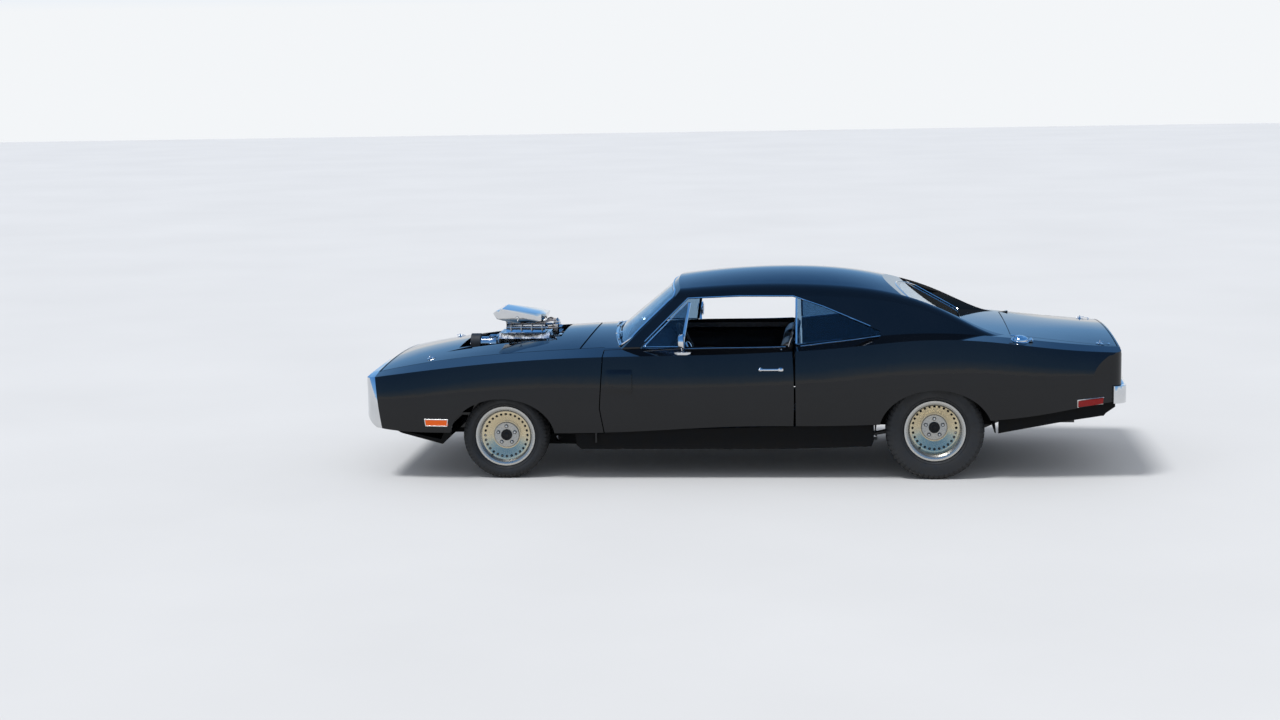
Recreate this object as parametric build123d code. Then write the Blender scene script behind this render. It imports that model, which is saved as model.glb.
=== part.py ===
from build123d import *
import math
import os

os.makedirs("parts", exist_ok=True)

# Overall size. X runs rearwards from the front axle while drawing, Z up from the road.
length = 5283.0
front_overhang = 1000.0
wheelbase = 2972.0
skin = 22.0
door_wall = 80.0
seam = 7.0
rest_gap = 0.3
nose_bulge = 15.2
x_nose = -front_overhang - nose_bulge
x_tail_body = 4250.0
far = 6000.0

# Wheels
front_tyre_radius = 296.0
rear_tyre_radius = 336.0
front_tyre_width = 195.0
rear_tyre_width = 285.0
front_wheel_y = 752.0
rear_wheel_y = 752.0
front_rim_width = 156.0
rear_rim_width = 262.0
rim_flange_radius = 208.0
rim_seat_radius = 190.5
front_dish = 58.0
rear_dish = 150.0
hub_face_radius = 86.0
hub_radius = 38.0
hub_running_gap = 0.08
rim_wall = 7.0
well_drop = 12.0
bead_seat = 16.0
flange_width = 9.0
lip_width = 12.0
disc_wall = 12.0
disc_rise = 24.0
hub_step = 9.0
hole_count = 28
hole_ring_radius = 150.0
hole_radius = 6.0
lug_count = 5
lug_ring_radius = 61.0
lug_seat_radius = 14.0
lug_seat_depth = 5.0
kingpin_y = 640.0

# Panels: edges in X
hood_front = -893.0
hood_rear_side = 519.0
hood_rear_middle = 567.0
hood_half = 711.5
fender_seam_y = hood_half + seam
door_front_edge = [(704.0, 1000.0), (704.0, 835.0), (681.0, 507.0), (709.0, 335.0), (709.0, 200.0)]
door_rear = 2020.0
door_lip_y = 777.0
door_rear_slant = 0.27
deck_front = 3495.0
deck_rear = 4200.0
deck_half_front = 640.0
deck_half_rear = 745.0
cutout_front = -398.0
cutout_rear = 345.0
cutout_half = 345.0

# Body sections, one row for each station behind the front axle:
# x, belly y, crease y, crease z, shoulder y, shoulder z, crown z, foot y, foot z
SECTIONS = [
    (-1020, 868, 838, 704, 700, 714, 726, 848, 402),
    (-600, 935, 900, 764, 718, 796, 832, 912, 340),
    (0, 952, 920, 828, 718, 862, 916, 926, 336),
    (600, 944, 908, 858, 724, 896, 960, 922, 334),
    (1300, 940, 900, 868, 776, 912, 950, 922, 364),
    (2000, 948, 906, 892, 776, 920, 955, 926, 380),
    (2600, 966, 926, 944, 776, 976, 990, 936, 390),
    (3000, 973, 934, 970, 776, 992, 1002, 942, 402),
    (3500, 964, 926, 936, 780, 960, 975, 934, 430),
    (3900, 944, 906, 890, 776, 918, 945, 914, 492),
    (4320, 905, 866, 862, 750, 886, 912, 880, 540),
]

# Roof sections: x, base y, rail y, rail z, edge y, edge z, crown z
ROOF_BASE_Z = 862.0
ROOF_SECTIONS = [
    (560, 790, 648, 1195, 560, 1262, 1290),
    (1180, 790, 644, 1226, 545, 1290, 1330),
    (1600, 790, 638, 1244, 530, 1318, 1374),
    (2000, 790, 638, 1246, 530, 1322, 1384),
    (2350, 792, 642, 1234, 540, 1304, 1362),
    (2700, 800, 660, 1196, 570, 1252, 1292),
    (3050, 822, 712, 1090, 640, 1130, 1160),
    (3560, 860, 790, 950, 740, 968, 982),
]


def p3(x, y, z):
    return Vector(x, y, z)


def side_prism(points, y_from, y_to):
    face = Face(Wire.make_polygon([p3(x, y_from, z) for x, z in points], close=True))
    return Solid.extrude(face, Vector(0, y_to - y_from, 0))


def plan_prism(points, z_from, z_to):
    face = Face(Wire.make_polygon([p3(x, y, z_from) for x, y in points], close=True))
    return Solid.extrude(face, Vector(0, 0, z_to - z_from))


def cross_prism(points, x_from, x_to):
    face = Face(Wire.make_polygon([p3(x_from, y, z) for y, z in points], close=True))
    return Solid.extrude(face, Vector(x_to - x_from, 0, 0))


def block(x_from, x_to, y_from, y_to, z_from, z_to):
    return Pos(x_from, y_from, z_from) * Box(
        x_to - x_from, y_to - y_from, z_to - z_from, align=(Align.MIN, Align.MIN, Align.MIN)
    )


def rod(start, end, radius):
    way = Vector(*end) - Vector(*start)
    return Solid.make_cylinder(radius, way.length, Plane(origin=start, z_dir=way.normalized()))


def other_side(shape):
    return mirror(shape, about=Plane.XZ)


def ellipse_prism(x, z, half_x, half_z, y_from, y_to):
    face = Face(Wire.make_ellipse(half_x, half_z, Plane(origin=(x, y_from, z), x_dir=(1, 0, 0), z_dir=(0, 1, 0))))
    return Solid.extrude(face, Vector(0, y_to - y_from, 0))


pieces = {}


def keep(name, shape):
    pieces[name] = shape.solids()


def largest(shape):
    return shape.solids().sort_by(SortBy.VOLUME)[-1]


def body_wire(row, inset, floor_drop, floor_rise):
    x, belly, crease, crease_z, shoulder, shoulder_z, crown_z, foot, foot_z = row
    belly_z = (crease_z + foot_z) / 2
    foot_z = foot_z + floor_rise
    a = p3(x, foot - inset, foot_z)
    b = p3(x, belly - inset, belly_z)
    c = p3(x, crease - inset, crease_z - inset * 0.5)
    d = p3(x, shoulder - inset * 0.4, shoulder_z - inset)
    top = p3(x, 0, crown_z - inset)
    left = [p3(x, -v.Y, v.Z) for v in (a, b, c, d)]
    edges = [
        Edge.make_three_point_arc(a, b, c),
        Edge.make_line(c, d),
        Edge.make_three_point_arc(d, top, left[3]),
        Edge.make_line(left[3], left[2]),
        Edge.make_three_point_arc(left[2], left[1], left[0]),
    ]
    if floor_drop:
        low = p3(x, foot - inset, foot_z - floor_drop)
        low_left = p3(x, -low.Y, low.Z)
        edges += [Edge.make_line(left[0], low_left), Edge.make_line(low_left, low), Edge.make_line(low, a)]
    else:
        edges.append(Edge.make_line(left[0], a))
    return Wire(edges)


def end_outline(inset):
    n = x_nose + inset
    t = x_tail_body - inset
    half = 1100.0
    plan = Wire([
        Edge.make_three_point_arc(p3(n + 36, 780 - inset, 0), p3(n, 0, 0), p3(n + 36, inset - 780, 0)),
        Edge.make_three_point_arc(p3(n + 36, inset - 780, 0), p3(n + 78, inset - 862, 0), p3(n + 190, inset - 920, 0)),
        Edge.make_line(p3(n + 190, inset - 920, 0), p3(n + 700, -half, 0)),
        Edge.make_line(p3(n + 700, -half, 0), p3(t - 700, -half, 0)),
        Edge.make_line(p3(t - 700, -half, 0), p3(t - 110, inset - 895, 0)),
        Edge.make_three_point_arc(p3(t - 110, inset - 895, 0), p3(t - 48, inset - 866, 0), p3(t - 24, inset - 800, 0)),
        Edge.make_three_point_arc(p3(t - 24, inset - 800, 0), p3(t, 0, 0), p3(t - 24, 800 - inset, 0)),
        Edge.make_three_point_arc(p3(t - 24, 800 - inset, 0), p3(t - 48, 866 - inset, 0), p3(t - 110, 895 - inset, 0)),
        Edge.make_line(p3(t - 110, 895 - inset, 0), p3(t - 700, half, 0)),
        Edge.make_line(p3(t - 700, half, 0), p3(n + 700, half, 0)),
        Edge.make_line(p3(n + 700, half, 0), p3(n + 190, 920 - inset, 0)),
        Edge.make_three_point_arc(p3(n + 190, 920 - inset, 0), p3(n + 78, 862 - inset, 0), p3(n + 36, 780 - inset, 0)),
    ])
    return Solid.extrude(Face(plan), Vector(0, 0, 1600))


def end_profile(inset):
    n = x_nose + inset
    t = x_tail_body - inset
    y = -1200.0
    side = Wire([
        Edge.make_three_point_arc(p3(n + 86, y, 760), p3(n, y, 592), p3(n + 92, y, 390)),
        Edge.make_line(p3(n + 92, y, 390), p3(n + 400, y, 100)),
        Edge.make_line(p3(n + 400, y, 100), p3(t - 400, y, 100)),
        Edge.make_line(p3(t - 400, y, 100), p3(t - 60, y, 480)),
        Edge.make_line(p3(t - 60, y, 480), p3(t, y, 664)),
        Edge.make_line(p3(t, y, 664), p3(t - 30, y, 880)),
        Edge.make_line(p3(t - 30, y, 880), p3(t - 60, y, 1500)),
        Edge.make_line(p3(t - 60, y, 1500), p3(n + 300, y, 1500)),
        Edge.make_line(p3(n + 300, y, 1500), p3(n + 86, y, 760)),
    ])
    return Solid.extrude(Face(side), Vector(0, 2400, 0))


def body_volume(inset, floor_drop=0.0, floor_rise=0.0):
    loft_shape = Solid.make_loft([body_wire(row, inset, floor_drop, floor_rise) for row in SECTIONS])
    return loft_shape & end_outline(inset) & end_profile(inset)


def roof_wire(row, inset):
    x, base, rail, rail_z, edge, edge_z, crown_z = row
    low = p3(x, base - inset, ROOF_BASE_Z)
    a = p3(x, rail - inset, rail_z)
    c = p3(x, edge - inset * 0.8, edge_z - inset * 0.8)
    b = p3(x, (rail * 0.62 + edge * 0.38) - inset, rail_z + (edge_z - rail_z) * 0.62 - inset * 0.3)
    top = p3(x, 0, crown_z - inset)
    l_low, l_a, l_b, l_c = [p3(x, -v.Y, v.Z) for v in (low, a, b, c)]
    return Wire([
        Edge.make_line(l_low, low),
        Edge.make_line(low, a),
        Edge.make_three_point_arc(a, b, c),
        Edge.make_three_point_arc(c, top, l_c),
        Edge.make_three_point_arc(l_c, l_b, l_a),
        Edge.make_line(l_a, l_low),
    ])


def roof_volume(inset):
    return Solid.make_loft([roof_wire(row, inset) for row in ROOF_SECTIONS])


# Windscreen: an arc in plan, swept back along the slope of the glass
screen_base_z = 880.0
screen_base_middle = 628.0
screen_base_side = 806.0
screen_run = 430.0
screen_rise = 352.0


def ahead_of_screen(shift):
    z = screen_base_z
    xm = screen_base_middle + shift
    xs = screen_base_side + shift
    arc = Edge.make_three_point_arc(p3(xs, -780, z), p3(xm, 0, z), p3(xs, 780, z))
    out = xs + 200
    wire = Wire([
        arc,
        Edge.make_line(p3(xs, 780, z), p3(out, 1100, z)),
        Edge.make_line(p3(out, 1100, z), p3(-1600, 1100, z)),
        Edge.make_line(p3(-1600, 1100, z), p3(-1600, -1100, z)),
        Edge.make_line(p3(-1600, -1100, z), p3(out, -1100, z)),
        Edge.make_line(p3(out, -1100, z), p3(xs, -780, z)),
    ])
    steps = 1.8
    down = 0.2
    start = Face(wire).moved(Location((-screen_run * down, 0, -screen_rise * down)))
    return Solid.extrude(start, Vector(screen_run * steps, 0, screen_rise * steps))


outer = body_volume(0)
inner = body_volume(skin, floor_drop=260)
door_rows = [row for row in SECTIONS if 0 <= row[0] <= 3000]
inner_door = Solid.make_loft([body_wire(row, door_wall, 260, 0) for row in door_rows])


def panel(zone):
    return (outer & zone) - inner



# Rear glass line between the sail panels, and the trough behind it
glass_top = (2610.0, 1312.0)
glass_low = (3170.0, 990.0)
trough_half_front = 555.0
trough_half_rear = 690.0
trough_front = 2560.0
trough_rear = 3620.0
trough_sides = [
    (trough_front, -trough_half_front), (trough_rear, -trough_half_rear),
    (trough_rear, trough_half_rear), (trough_front, trough_half_front),
]
rear_glass_thickness = 8.0

roof_outer = roof_volume(0)
roof_inner = roof_volume(36)
slope_x = glass_low[0] - glass_top[0]
slope_z = glass_low[1] - glass_top[1]
slope_length = math.hypot(slope_x, slope_z)
normal_x = -slope_z / slope_length
normal_z = slope_x / slope_length


def on_glass_line(point, lift):
    return (point[0] + normal_x * lift, point[1] + normal_z * lift)


def beyond_glass(lift):
    top = on_glass_line((glass_top[0] - slope_x * 0.4, glass_top[1] - slope_z * 0.4), lift)
    low = on_glass_line((glass_low[0] + slope_x * 0.3, glass_low[1] + slope_z * 0.3), lift)
    return side_prism([top, (top[0] + 300, 1800), (4200, 1800), (4200, low[1]), low], -1200, 1200)


trough_zone = plan_prism(trough_sides, 700, 1700)
trough = beyond_glass(rear_glass_thickness) & trough_zone
rear_glass = largest(((roof_inner & trough_zone & beyond_glass(0)) - beyond_glass(rear_glass_thickness)) - outer)

# Side window opening and the rear quarter glass in it
belt_front_x = 985.0
belt_z = 912.0
window_top_front = (1279.0, 1228.0)
window_top_rear = (2006.0, 1238.0)
quarter_kink = (2215.0, 1168.0)
quarter_low = (2600.0, 1010.0)
quarter_tip = (2604.0, 982.0)
belt_rear = (2020.0, 921.0)
side_opening = [
    (930.0, 840.0), (belt_front_x - 32, belt_z), window_top_front, (1640.0, 1241.0), window_top_rear, quarter_kink,
    quarter_low, quarter_tip, (belt_rear[0] + 7, belt_rear[1]), (belt_rear[0] + 7, 840.0),
]
quarter_outline = [
    (belt_rear[0] + 8, belt_rear[1]), (window_top_rear[0] + 22, window_top_rear[1] - 5), quarter_kink,
    quarter_low, quarter_tip,
]
window_cut = side_prism(side_opening, -1000, 1000)

cabin_low = side_prism([(560, 780), (560, 1500), (2700, 1500), (2700, 780)], -1000, 1000)
cavity_front = roof_inner & cabin_low
cavity_rear = (roof_inner & trough_zone) - beyond_glass(rear_glass_thickness)
screen_zone = ahead_of_screen(0)

roof_shell = (roof_outer - trough - cavity_front - cavity_rear) - screen_zone
foot_half = 770.0
pillar_foot_cut = block(600, door_rear + seam, -1100, -foot_half, 700, belt_z + 8)
roof_shell = roof_shell - window_cut - pillar_foot_cut - other_side(pillar_foot_cut)

cabin_floor_cut = block(830, 2700, -735, 735, 780, 1060)
rear_body = panel(block(door_rear + seam, far, -1100, 1100, 100, 1300))
jamb_rear = 2110.0
jamb_top = 900.0
jamb = (outer & block(door_rear + seam, jamb_rear, -1000, 1000, 300, jamb_top)) - inner_door
jamb = jamb - block(2000, 2200, -700, 700, 300, 1000)


def deck_plan(grow):
    return [
        (deck_front - grow, -deck_half_front - grow), (deck_front - grow, deck_half_front + grow),
        (deck_rear + grow, deck_half_rear + grow), (deck_rear + grow, -deck_half_rear - grow),
    ]


deck_zone = plan_prism(deck_plan(0), 700, 1300)
deck_hole = plan_prism(deck_plan(seam), 700, 1300)
deck_lid = panel(deck_zone)

# Wheel arches
front_arch = (-6.0, 300.0, 368.0, 277.0)
rear_arch = (2975.0, 330.0, 386.0, 300.0)


def arch(values, y_from, y_to):
    x, z, half_x, half_z = values
    return ellipse_prism(x, z, half_x, half_z, y_from, y_to) + block(
        x - half_x, x + half_x, min(y_from, y_to), max(y_from, y_to), 0, z
    )


front_arches = arch(front_arch, -1100, 1100)
rear_arches = arch(rear_arch, -1100, 1100)

# Tail opening for the lamps
lamp_low = 690.0
lamp_high = 800.0
lamp_half = 800.0
tail_slot = block(4120, 4400, -lamp_half, lamp_half, lamp_low, lamp_high)

gutter_inner = plan_prism(deck_plan(-24), 700, 1300)
gutter = ((Pos(0, 0, -rest_gap) * inner) & plan_prism(deck_plan(30), 830, 1300)) - (Pos(0, 0, -8) * inner)
gutter = largest(gutter - gutter_inner)
quarters_roof = (rear_body - deck_hole - cabin_floor_cut - rear_arches - tail_slot) + jamb + gutter
quarters_roof = quarters_roof + roof_shell
quarters_roof = quarters_roof - side_prism(quarter_outline, -1000, 1000)

keep("deck_lid", deck_lid)
keep("quarters_roof", quarters_roof)

# Doors: the whole wall between the two seams
door_front_line = [(x, z) for x, z in door_front_edge]
door_side = side_prism(door_front_line + [(door_rear, 200.0), (door_rear, 1000.0)], -1000, 1000)
door_slant = plan_prism([
    (600, -1000), (door_rear, -1000), (door_rear, -965), (door_rear - 215 * door_rear_slant, -750), (600, -750),
], 200, 1000)
door_body = (outer & door_side & door_slant & block(600, 2100, -1000, -door_lip_y, 250, 1000)) - inner_door
keep("door_left", door_body)
keep("door_right", other_side(door_body))

# Vent panes stand on the door tops, leaned in like the pillars
tumble = 0.40
pane_y = 785.0
pane_thickness = 6.0
vent_outline = [(966.0, belt_z - 8), (1266.0, 1198.0), (1292.0, 1215.0), (1240.0, belt_z - 8)]
lean_low = belt_z - 12
lean_high = 1240.0
lean_shift = (lean_high - lean_low) * tumble
pane_slab = cross_prism([
    (-pane_y, lean_low), (-pane_y - pane_thickness, lean_low),
    (-pane_y - pane_thickness + lean_shift, lean_high), (-pane_y + lean_shift, lean_high),
], 900, 1400)
vent_pane = (pane_slab & side_prism(vent_outline, -900, -500)) - door_body
keep("vent_pane_left", vent_pane)
keep("vent_pane_right", other_side(vent_pane))

# Door mirror on its stalk
mirror_x = 1250.0
mirror_y = -955.0
mirror_z = 972.0
mirror_foot_z = 880.0
mirror_radius = 52.0
mirror_depth = 46.0
mirror_face = Face(Wire.make_polygon([
    p3(mirror_x + dx, mirror_y + dy, mirror_z) for dx, dy in (
        (-mirror_depth * 0.55, 0), (-mirror_depth * 0.55, mirror_radius * 0.42), (-mirror_depth * 0.34, mirror_radius * 0.78),
        (mirror_depth * 0.25, mirror_radius), (mirror_depth * 0.45, mirror_radius), (mirror_depth * 0.45, mirror_radius - 5),
        (mirror_depth * 0.38, mirror_radius - 6), (mirror_depth * 0.38, 0),
    )
], close=True))
mirror_head = Solid.revolve(mirror_face, 360, Axis((mirror_x, mirror_y, mirror_z), (1, 0, 0)))
mirror_stalk = rod((mirror_x + 6, -868, mirror_foot_z), (mirror_x, mirror_y + 10, mirror_z - 20), 9)
mirror_foot = plan_prism([
    (mirror_x - 52, -872), (mirror_x - 30, -890), (mirror_x + 34, -892), (mirror_x + 58, -876), (mirror_x + 34, -852),
    (mirror_x - 30, -852),
], mirror_foot_z - 22, mirror_foot_z + 7)
door_mirror = (mirror_head + mirror_stalk + mirror_foot) - door_body - vent_pane
door_mirror = largest(door_mirror)
keep("mirror_left", door_mirror)
keep("mirror_right", other_side(door_mirror))

# Front wings
wing_front_line = [(-914.0, 800.0), (-854.0, 300.0)]
wing_rear_line = [(x - seam, z) for x, z in door_front_edge]
wing_side = side_prism(
    [wing_front_line[1], wing_front_line[0], (-914.0, 1000.0)] + wing_rear_line, -1000, -fender_seam_y
)
wing = panel(wing_side) - arch(front_arch, -1100, 0)
keep("wing_left", wing)
keep("wing_right", other_side(wing))

# Nose: bright loop, grille inside it, lower apron
loop_wall = 60.0
loop_inner = body_volume(loop_wall, floor_rise=loop_wall)
nose_zone = side_prism([
    (-1100, 200), (-842, 200), wing_front_line[1], wing_front_line[0], (-938, 1000), (-1100, 1000),
], -1000, 1000)
loop = (outer & nose_zone) - loop_inner
mouth_half = 806.0
mouth_low = 464.0
mouth_high = 662.0
loop = loop - block(-1100, -900, -mouth_half, mouth_half, mouth_low, mouth_high)
keep("nose_loop", loop)

grille_front = -900.0
grille_depth = 14.0
grille_bars = 7
bar_height = 7.0
bar_depth = 16.0
grille = loop_inner & block(grille_front, grille_front + grille_depth, -1000, 1000, 300, 800)
bar_step = (mouth_high - mouth_low) / (grille_bars + 1)
for n in range(grille_bars):
    z = mouth_low + bar_step * (n + 1)
    grille = grille + block(
        grille_front - bar_depth, grille_front, -mouth_half + 20, mouth_half - 20, z - bar_height / 2, z + bar_height / 2
    )
lamp_door_inner = 330.0
lamp_door_outer = 742.0
lamp_door_low = 498.0
lamp_door_high = 628.0
lamp_door_depth = 26.0
lamp_door_frame = 14.0
lamp_door = block(
    grille_front - lamp_door_depth, grille_front, -lamp_door_outer, -lamp_door_inner, lamp_door_low, lamp_door_high
)
lamp_recess = block(
    grille_front - lamp_door_depth, grille_front - bar_depth, lamp_door_frame - lamp_door_outer,
    -lamp_door_frame - lamp_door_inner, lamp_door_low + lamp_door_frame, lamp_door_high - lamp_door_frame
)
lamp_door = lamp_door - lamp_recess
grille = grille + lamp_door + other_side(lamp_door)
keep("grille", grille)

front_apron = side_prism([
    (-862, 400), (-735, 322), (-444, 242), (-381, 300), (-385, 332), (-430, 332), (-455, 275), (-730, 338), (-850, 402),
], -835, 835)
front_apron = front_apron - outer

# Bonnet with the opening round the blower
rear_curve = Wire([
    Edge.make_three_point_arc(
        p3(hood_rear_side, -hood_half, 500), p3(hood_rear_middle, 0, 500), p3(hood_rear_side, hood_half, 500)
    ),
    Edge.make_line(p3(hood_rear_side, hood_half, 500), p3(hood_front, hood_half, 500)),
    Edge.make_line(p3(hood_front, hood_half, 500), p3(hood_front, -hood_half, 500)),
    Edge.make_line(p3(hood_front, -hood_half, 500), p3(hood_rear_side, -hood_half, 500)),
])
hood_zone = Solid.extrude(Face(rear_curve), Vector(0, 0, 700))
engine_opening = block(cutout_front, cutout_rear, -cutout_half, cutout_half, 400, 1300)
hood = panel(hood_zone) - engine_opening
scallop_depth = 12.0
scallop = plan_prism([(-470, -442), (-300, -cutout_half + 2), (300, -cutout_half + 2), (330, -452)], 500, 1300)
scallop = scallop - (Pos(0, 0, -scallop_depth) * outer)
hood = hood - nose_zone - scallop - other_side(scallop)
keep("hood", largest(hood))

# Cowl panel between bonnet and glass, with the bulkhead and inner wings
cowl_rear = 905.0
cowl_gap = 12.0
cowl_zone = Solid.extrude(Face(Wire([
    Edge.make_three_point_arc(
        p3(hood_rear_side + cowl_gap, -hood_half, 500), p3(hood_rear_middle + cowl_gap, 0, 500),
        p3(hood_rear_side + cowl_gap, hood_half, 500)
    ),
    Edge.make_line(p3(hood_rear_side + cowl_gap, hood_half, 500), p3(697, hood_half, 500)),
    Edge.make_line(p3(697, hood_half, 500), p3(697, 770, 500)),
    Edge.make_line(p3(697, 770, 500), p3(cowl_rear, 770, 500)),
    Edge.make_line(p3(cowl_rear, 770, 500), p3(cowl_rear, -770, 500)),
    Edge.make_line(p3(cowl_rear, -770, 500), p3(697, -770, 500)),
    Edge.make_line(p3(697, -770, 500), p3(697, -hood_half, 500)),
    Edge.make_line(p3(697, -hood_half, 500), p3(hood_rear_side + cowl_gap, -hood_half, 500)),
])), Vector(0, 0, 700))
cowl = panel(cowl_zone) - cabin_floor_cut - quarters_roof
bulkhead_x = 640.0
bulkhead = inner & block(bulkhead_x, bulkhead_x + 12, -1000, 1000, 262, 1100)
side_post = inner & block(bulkhead_x, 668, -1000, -860, 380, 800)
apron_y = 486.0
apron_wall = 8.0
apron_profile = [(-845, 300), (-845, 610), (bulkhead_x, 770), (bulkhead_x, 300)]
apron_shelf = [(-845, 602), (-845, 610), (bulkhead_x, 770), (bulkhead_x, 762)]
apron = side_prism(apron_profile, -apron_y, apron_wall - apron_y)
apron = apron + side_prism(apron_shelf, -1000, -apron_y)
apron = apron & inner
buffer_y = 640.0
buffer_radius = 14.0
for buffer_x in (-800.0, 430.0):
    buffer = rod((buffer_x, -buffer_y, 600), (buffer_x, -buffer_y, 1000), buffer_radius)
    buffer = buffer & (Pos(0, 0, -rest_gap) * inner)
    apron = apron + (buffer - side_prism([(-2000, 0), (-2000, 500), (-845, 610), (bulkhead_x, 770), (700, 0)], -800, 0))
aprons = apron + other_side(apron)
bulkhead_panel = cowl + bulkhead + side_post + other_side(side_post) + aprons

# Underbody: floor, tubs over the rear wheels, rails and the dark sills
floor_z = 262.0
floor_t = 12.0
floor_half = 765.0
kick_z = 500.0
boot_z = 432.0
floor_line = [
    (bulkhead_x, floor_z), (2440, floor_z), (2600, kick_z), (3340, kick_z), (3420, boot_z), (4140, boot_z),
]
floor_low = [(x, z - floor_t) for x, z in reversed(floor_line)]
floor_pan = side_prism(floor_line + floor_low, -floor_half, floor_half)
tub_radius = 400.0
tub_wall = 8.0
tub_inner_y = 582.0
wheel_zone = block(wheelbase - tub_radius, wheelbase + tub_radius, -1000, -tub_inner_y, 0, 330)
wheel_round = Solid.make_cylinder(tub_radius, 420, Plane(origin=(wheelbase, -tub_inner_y, 330), z_dir=(0, -1, 0)))
wheel_space = wheel_zone + wheel_round
tub_round = Solid.make_cylinder(
    tub_radius + tub_wall, 420, Plane(origin=(wheelbase, -tub_inner_y + tub_wall, 330), z_dir=(0, -1, 0))
)
tub = (tub_round & block(2000, 4000, -1000, 0, 330, 900)) - wheel_space
tub = tub & inner
boot_sides = floor_pan - wheel_space - other_side(wheel_space)
boot_sides = boot_sides & inner
sill_low = 214.0
sill_outline = [
    (507, sill_low + 30), (540, sill_low), (2021, sill_low), (2540, sill_low + 17), (2558, sill_low + 60),
    (2558, 376), (2024, 370), (1767, 366), (959, 345), (705, 325), (500, 322),
]
sill = side_prism(sill_outline, -884, -floor_half)
rail_y = 430.0
rail_half = 32.0
rail_low = 176.0
pad_front = 760.0
pad_rear = 2300.0
rail = block(200, 2440, -rail_y - rail_half, -rail_y + rail_half, rail_low, floor_z - floor_t)
tie_radius = 20.0
tie_front_x = 320.0
tie_rear_x = 2380.0
tie_front_z = (rail_low + floor_z - floor_t) / 2
rail = rail - rod((tie_front_x, -600, tie_front_z), (tie_front_x, -300, tie_front_z), tie_radius)
rail = rail - rod((tie_rear_x, -rail_y, rail_low - 20), (tie_rear_x, -rail_y, floor_z - floor_t), tie_radius)
rail_front = block(-800, 200, -rail_y - rail_half, -rail_y + rail_half, 262, 340)
rail_join = block(150, 260, -rail_y - rail_half, -rail_y + rail_half, rail_low, 340)
tunnel_half = 130.0
tunnel_wall = 10.0
tunnel_low = floor_z - floor_t - 5
tunnel = side_prism([
    (bulkhead_x, floor_z), (bulkhead_x, 420), (1300, 380), (2440, 330), (2440, floor_z),
], -tunnel_half, tunnel_half)
tunnel_space = side_prism([
    (bulkhead_x - 50, tunnel_low), (bulkhead_x - 50, 413), (1300, 370), (2460, 320), (2460, tunnel_low),
], tunnel_wall - tunnel_half, tunnel_half - tunnel_wall)
hanger = side_prism([(2440, 250), (2500, 250), (2500, 345), (2445, 260)], -552, -rail_y + rail_half)
underbody = (boot_sides + tunnel - tunnel_space) + tub + other_side(tub) + sill + other_side(sill)
underbody = underbody + hanger + other_side(hanger)
underbody = underbody + rail + rail_front + rail_join
underbody = underbody + other_side(rail) + other_side(rail_front) + other_side(rail_join)
keep("underbody", underbody)
bulkhead_panel = bulkhead_panel - tunnel_space - underbody
keep("bulkhead_and_cowl", bulkhead_panel)
keep("front_apron", largest(front_apron - aprons - underbody))

# Glass
screen_glass = (ahead_of_screen(16) - ahead_of_screen(10)) & roof_inner
screen_glass = screen_glass - outer
keep("windscreen", largest(screen_glass))
keep("rear_window", rear_glass)
quarter_pane = (roof_volume(10) - roof_volume(16)) & side_prism(quarter_outline, -1000, 0)
quarter_pane = largest(quarter_pane)
keep("quarter_panes", Compound(children=[quarter_pane, other_side(quarter_pane)]))

# Tail: lamps in a dark panel, bumper, lower apron
panel_back = 4190.0
tail_panel = inner & block(panel_back - 12, panel_back, -lamp_half - 30, lamp_half + 30, lamp_low - 20, lamp_high + 20)
keep("tail_panel", tail_panel)
lamp_depth = 32.0
lamp_inner_y = 60.0
lamp = block(panel_back, panel_back + lamp_depth, lamp_inner_y, lamp_half - 20, lamp_low + 15, lamp_high - 15)
keep("tail_lamps", Compound(children=[lamp, other_side(lamp)]))

bumper_low = 528.0
bumper_high = 646.0
bumper_front = 4165.0
bumper_reach = length - front_overhang
bumper_plan = Wire([
    Edge.make_three_point_arc(p3(bumper_reach - 28, -800, bumper_low), p3(bumper_reach, 0, bumper_low),
                              p3(bumper_reach - 28, 800, bumper_low)),
    Edge.make_three_point_arc(p3(bumper_reach - 28, 800, bumper_low), p3(bumper_reach - 52, 885, bumper_low),
                              p3(bumper_reach - 118, 915, bumper_low)),
    Edge.make_line(p3(bumper_reach - 118, 915, bumper_low), p3(bumper_reach - 118, -915, bumper_low)),
    Edge.make_three_point_arc(p3(bumper_reach - 118, -915, bumper_low), p3(bumper_reach - 52, -885, bumper_low),
                              p3(bumper_reach - 28, -800, bumper_low)),
])
rear_bumper = Solid.extrude(Face(bumper_plan), Vector(0, 0, bumper_high - bumper_low)) - outer
keep("rear_bumper", largest(rear_bumper))

rear_apron = side_prism([
    (3400, 318), (3845, 400), (4090, 438), (4180, 500), (4180, 540), (4060, 520), (3400, 425),
], -872, -850)
rear_apron = rear_apron + other_side(rear_apron)
apron_back = side_prism([(4090, 438), (4180, 500), (4180, 530), (4150, 530), (4085, 470)], -872, 872)
rear_apron = (rear_apron + apron_back) - outer
keep("rear_apron", rear_apron - rear_bumper)

# Side marker lamps
marker_front = block(-546, -384, -1000, 0, 388, 430) & (body_volume(-4) - outer)
marker_rear = side_prism([(3929, 506), (4095, 522), (4097, 566), (3927, 550)], -1000, 0) & (body_volume(-4) - outer)
markers = [m for shape in (marker_front, marker_rear) for m in shape.solids()]
keep("side_markers", Compound(children=markers + [other_side(m) for m in markers]))

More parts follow.
